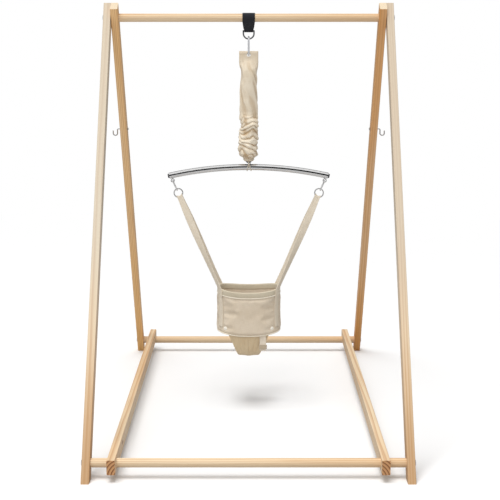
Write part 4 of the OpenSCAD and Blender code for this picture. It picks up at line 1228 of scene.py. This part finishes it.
eye = Vector((eyes_hi.x - EYE_OUT, 0, eyes_lo.z + EYE_OUT))
ring_middle = Vector((ring_hi.x - RING_OUT, 0, (ring_hi.z + ring_lo.z) / 2))
line_down = (ring_middle - eye).normalized()
line_across = Vector((-line_down.z, 0, line_down.x))
RING_R = RING_OUT - RING_WIRE / 2
BEND_R = RING_WIRE / 2 + WEBBING_T / 2 + 0.45 * MM
BEND_HALF = 0.4 * STRAP_W
RING_SIDE = math.sqrt(RING_R ** 2 - BEND_HALF ** 2)
RING_CUP = RING_R - RING_SIDE
BEND_CUP = BEND_R * (RING_R / RING_SIDE - 1)
SEWN_OUT = WEBBING_T / 2 + BIND_OUT + BIND_T + 0.4 * MM
SEWN_STEPS = 30
SEAM_SHARE = 0.8
SEAM_LIFT = 1.15
wire_low = ring_middle + RING_R * line_down


def sewn_point(z, across):
    """Point of a right-hand strap's front end on the band, at a height and a distance across it."""
    angle = even_angle((FRONT_SEWN + across) / BAND_GIRTH)
    over_binding = rise(z, BINDING_LOW - 12 * MM, BINDING_LOW - 2 * MM)
    return band_point(angle, z, mix(WEBBING_T / 2 + 0.5 * MM, SEWN_OUT, over_binding))


def sewn_station(z):
    """Middle, half width and bow of that end at a height."""
    middle = sewn_point(z, 0)
    right = sewn_point(z, STRAP_W / 2)
    left = sewn_point(z, -STRAP_W / 2)
    return (middle, (right - left) / 2, (right + left) / 2 - middle)


def front_half():
    """Stations of a strap's front half, from the top of the ring's wire to the sewn end."""
    stations = []
    for angle in evenly(math.pi / 2, 0, 12)[:-1]:
        middle = wire_low + BEND_R * (Vector((0, -math.cos(angle), 0)) - math.sin(angle) * line_down)
        cup = -(RING_CUP + BEND_CUP * math.sin(angle)) * line_down
        stations.append((middle, BEND_HALF * line_across, cup))
    start = wire_low + Vector((0, -BEND_R, 0))
    top, _, bow = sewn_station(BAND_TOP)
    sew_across = (sewn_point(BAND_TOP, 3 * MM) - sewn_point(BAND_TOP, -3 * MM)).normalized()
    for t in evenly(0, 1, 40):
        across = line_across.lerp(sew_across, ease(t)).normalized()
        half = mix(BEND_HALF, STRAP_W / 2, ease(4 * t))
        lift = -RING_CUP * (1 - ease(4 * t)) * line_down + ease(4 * t - 3) * bow
        sag = Vector((0.6 * MM, -1.5 * MM, 0)) * math.sin(math.pi * t)
        stations.append((start.lerp(top, t) + sag, half * across, lift))
    stations += [sewn_station(z) for z in evenly(BAND_TOP, BAND_TOP - STRAP_SEWN, SEWN_STEPS)[1:]]
    return stations


def to_side(vector, side, rear):
    return Vector((vector.x * side, -vector.y if rear else vector.y, vector.z))


def strap_stations(side):
    """Stations of a whole strap, from its rear sewn end through the ring to its front one."""
    half = front_half()
    rows = [[to_side(v, side, True) for v in station] for station in reversed(half[1:])]
    rows += [[to_side(v, side, False) for v in station] for station in half]
    stations = []
    for i, (middle, across, bow) in enumerate(rows):
        tangent = rows[min(i + 1, len(rows) - 1)][0] - rows[max(i - 1, 0)][0]
        out = across.cross(tangent).normalized() * WEBBING_T / 2
        stations.append((middle, across, out, bow))
    return stations


def strap_line(stations, share, lift):
    """Points that run along a strap at a share of its half width, lifted off its face."""
    return [m + share * a + share * share * b + o * lift for m, a, o, b in stations]


def sewn_lines(end):
    """Seams of a strap's sewn end: one along each edge, and a cross near its top and its foot."""
    outward = end[15][2].dot(Vector((end[15][0].x, end[15][0].y, 0)))
    lift = math.copysign(SEAM_LIFT, outward)
    edges = {share: strap_line(end, share, lift) for share in (-SEAM_SHARE, SEAM_SHARE)}
    lines = list(edges.values())
    for low, high in ((0, 7), (22, 29)):
        for share, edge in edges.items():
            last = edges[-share][high]
            lines.append([edge[low].lerp(last, t) for t in evenly(0, 1, 8)])
    return lines


strap_lines = []
for side, name in ((1, "right"), (-1, "left")):
    stations = strap_stations(side)
    strap_bm = sweep(stations, flat_section(12, 0.07))
    piece(f"strap_webbing_{name}", strap_bm, beige_webbing, "seat", [f"strap_{name}"])
    strap_lines += sewn_lines(stations[:SEWN_STEPS]) + sewn_lines(stations[-SEWN_STEPS:])
piece("strap_stitching", stitches(strap_lines, *STRAP_STITCH), cream_thread, "seat")


# Sling: hangs inside the band from front to back, softly pleated and narrowest at its lowest point

SLING_IN = BAND_T + SLING_T / 2 + 1.1 * MM
SLING_A = BAND_A - SLING_IN
SLING_B = BAND_B - SLING_IN
SLING_TOP = BAND_LOW + SLING_TUCK
SLING_FALL = SLING_TUCK + 82 * MM
SLING_PLEAT = 1.6 * MM
SLING_MAP = 0.3
SLING_ROWS = 84
SLING_COLUMNS = 40
SLING_TUCKED_ROWS = 10
SLING_SEAMS = (-0.93, -0.05, 0.05, 0.93)


def sling_place(s, w):
    """Middle of the sling's cloth: s runs from its front top to its back top, w from side to side."""
    hang = math.sin(math.pi * s)
    low = hang ** 0.8
    x = w * mix(SLING_TOP_W, SLING_LOW_W, low) / 2
    plan = (1 - abs(x / SLING_A) ** OVAL_POWER) ** (1 / OVAL_POWER)
    fall = edge_dip(x) * (1 - low) + SLING_FALL * hang ** 0.9
    wave = math.sin(TURN * 3.2 * w + 0.9 * math.sin(5 * s))
    pleat = SLING_PLEAT * ease(3 * hang) * max(0.0, wave) * (1 - hang ** 3)
    y = -SLING_B * signed_power(math.cos(math.pi * s), 0.75) * plan
    return Vector((x, y - math.copysign(pleat, y), SLING_TOP - fall + 3 * MM * low * w * w))


def sling_normal(s, w):
    along = sling_place(min(s + 0.01, 1), w) - sling_place(max(s - 0.01, 0), w)
    across = sling_place(s, min(w + 0.02, 1)) - sling_place(s, max(w - 0.02, -1))
    return along.cross(across).normalized()


sling_loop = [(w, 1.0) for w in evenly(-0.97, 0.97, SLING_COLUMNS)]
sling_loop += [(0.992, 0.7), (1.0, 0.0), (0.992, -0.7)]
sling_loop += [(-w, -t) for w, t in sling_loop]
sling_width = lengths([Vector((w * SLING_TOP_W / 2, t * SLING_T / 2, 0)) for w, t in sling_loop], True)


def sling_shape(column, row):
    """Point of the sling's surface, thinner along its centre seam."""
    w, t = sling_loop[column % len(sling_loop)]
    s = row / SLING_ROWS
    seam = 1 - 0.55 * math.exp(-((w / 0.03) ** 2))
    return sling_place(s, w) + sling_normal(s, w) * t * SLING_T / 2 * seam


def sling_held(column, row):
    """1 where the sling is sewn inside the band."""
    return 1.0 if row < SLING_TUCKED_ROWS or row > SLING_ROWS - SLING_TUCKED_ROWS else 0.15


sling_bm = close_ends(cloth_grid(
    len(sling_loop), SLING_ROWS, sling_shape, sling_width, evenly(0, SLING_MAP, SLING_ROWS), sling_held,
))
sling = piece("seat_sling_cloth", sling_bm, sling_canvas, "seat", ["seat_sling"])
sling_cloth = {
    "bending_stiffness": 3, "shrink_min": -0.03, "use_pressure": True, "uniform_pressure_force": 0.6,
}
settle(sling, 16, 2.5 * MM, sling_cloth)
finish_cloth(sling)

seat_lines = [
    round_the_band(BINDING_LOW + 2.2 * MM, BIND_OUT + BIND_T + 0.15 * MM),
    round_the_band(BAND_LOW + 4.5 * MM, 0.4 * MM),
]
for w in SLING_SEAMS:
    for out in (SLING_T / 2 + 0.3 * MM, -SLING_T / 2 - 0.3 * MM):
        seat_lines.append([sling_place(s, w) + sling_normal(s, w) * out for s in evenly(0.08, 0.92, 60)])


# Adjusting tab: webbing through the slide buckle

TAB_T = 1.5 * MM
TAB_TILT = math.radians(5)
TAB_L = (tab_hi.z - tab_lo.z) / math.cos(TAB_TILT)
TAB_STEPS = 24
TAB_SEWN_STEPS = 14
tab_half = Vector(((tab_hi.x - tab_lo.x) / 2, 0, 0))
tab_down = Vector((0, -math.sin(TAB_TILT), -math.cos(TAB_TILT)))
tab_out = Vector((0, -math.cos(TAB_TILT), math.sin(TAB_TILT)))
tab_top = Vector(((tab_lo.x + tab_hi.x) / 2, tab_hi.y - TAB_T / 2, tab_hi.z))
tab_stations = [
    (tab_top + tab_down * run, tab_half, tab_out * TAB_T / 2, Vector()) for run in evenly(0, TAB_L, TAB_STEPS)
]
tab_bm = sweep(tab_stations, flat_section(10, 0.06))
piece("tab_webbing", tab_bm, pale_webbing, "seat", ["adjuster_tab"])
tab_lines = [strap_line(tab_stations[:TAB_SEWN_STEPS], share, 1.2) for share in (-0.7, 0.7)]
seat_seams = join([stitches(seat_lines, *SEAT_STITCH), stitches(tab_lines, *TAB_STITCH)])
piece("seat_stitching", seat_seams, cream_thread, "seat")


# Floor, light and camera

FLOOR_NEAR = 2.2
FLOOR_FAR = 4.5


def white_floor():
    """Pale floor that keeps the shadows near the stand and turns to the white background further off."""
    finish = Finish("white_floor", {"Roughness": 0.9, "Specular IOR Level": 0.1})
    local = finish.place()
    pale = finish.mix(grey(0.94), grey(0.96), finish.noise(local, 3))
    x, y, _ = finish.split(local)
    far = ((x * x + y * y) ** 0.5).between(FLOOR_NEAR, FLOOR_FAR)
    finish.feed("Base Color", finish.mix(grey(0.55), pale, finish.ray("Camera")))
    near = Wire(finish, finish.shader.outputs[0])
    white = finish.add("ShaderNodeEmission", None, {"Color": grey(1), "Strength": 1.0})
    finish.show("Material Output", far * finish.seen(), near, white)
    return finish


def studio_world(level):
    """Even light from all round; the camera, and metal, see plain white."""
    scene.world = bpy.data.worlds.new("studio")
    nodes = Nodes(scene.world)
    light = nodes.add("ShaderNodeBackground", None, {"Color": grey(1), "Strength": level})
    white = nodes.add("ShaderNodeBackground", None, {"Color": grey(1), "Strength": 1.0})
    nodes.show("World Output", nodes.seen(), light, white)


def studio_lamp(name, kind, place, aim, power):
    """Lamp that faces a point."""
    light = bpy.data.lights.new(name, kind)
    light.energy = power
    obj = bpy.data.objects.new(name, light)
    obj.location = place
    obj.rotation_euler = (Vector(aim) - Vector(place)).to_track_quat("-Z", "Y").to_euler()
    scene.collection.objects.link(obj)
    return obj


def studio_card(name, half, place, shade):
    """Upright card that only glossy surfaces see; half is half its width and half its height."""
    bm = bmesh.new()
    bmesh.ops.create_grid(bm, x_segments=1, y_segments=1, size=1)
    bmesh.ops.scale(bm, vec=(*half, 1), verts=bm.verts)
    bmesh.ops.rotate(bm, matrix=Matrix.Rotation(math.pi / 2, 3, "X"), verts=bm.verts)
    bmesh.ops.translate(bm, vec=place, verts=bm.verts)
    card = to_object(name, bm, plastic(name, grey(shade), grey(shade), 0.9))
    card.visible_camera = False
    card.visible_diffuse = False
    card.visible_shadow = False


floor_bm = bmesh.new()
bmesh.ops.create_grid(floor_bm, x_segments=8, y_segments=8, size=20)
to_object("studio_floor", floor_bm, white_floor())
studio_world(0.42)
overhead = studio_lamp("overhead", "SUN", (-0.14, -0.2, 1.0), (0, 0, 0), 2.0)
overhead.data.angle = math.radians(36)
overhead.visible_glossy = False
softbox = studio_lamp("front", "AREA", (-0.9, -3.6, 2.7), (0, 0, 0.6), 44)
softbox.data.size = 2.4
softbox.visible_camera = False

# Cards out of the camera's sight, which give bright metal something to reflect
studio_card("dark_card", (2.2, 1.15), (0, -1.9, 1.5), 0.02)
studio_card("grey_card", (5.0, 2.8), (0, 3.0, 2.85), 0.3)

camera_data = bpy.data.cameras.new("photo_camera")
camera_data.lens = 87.2
camera_data.sensor_width = 36
camera = bpy.data.objects.new("photo_camera", camera_data)
camera.location = (0.004, -3.7456, 1.1388)
camera.rotation_euler = (math.radians(80.31), 0, 0)
scene.collection.objects.link(camera)
scene.camera = camera
scene.view_settings.view_transform = "Standard"
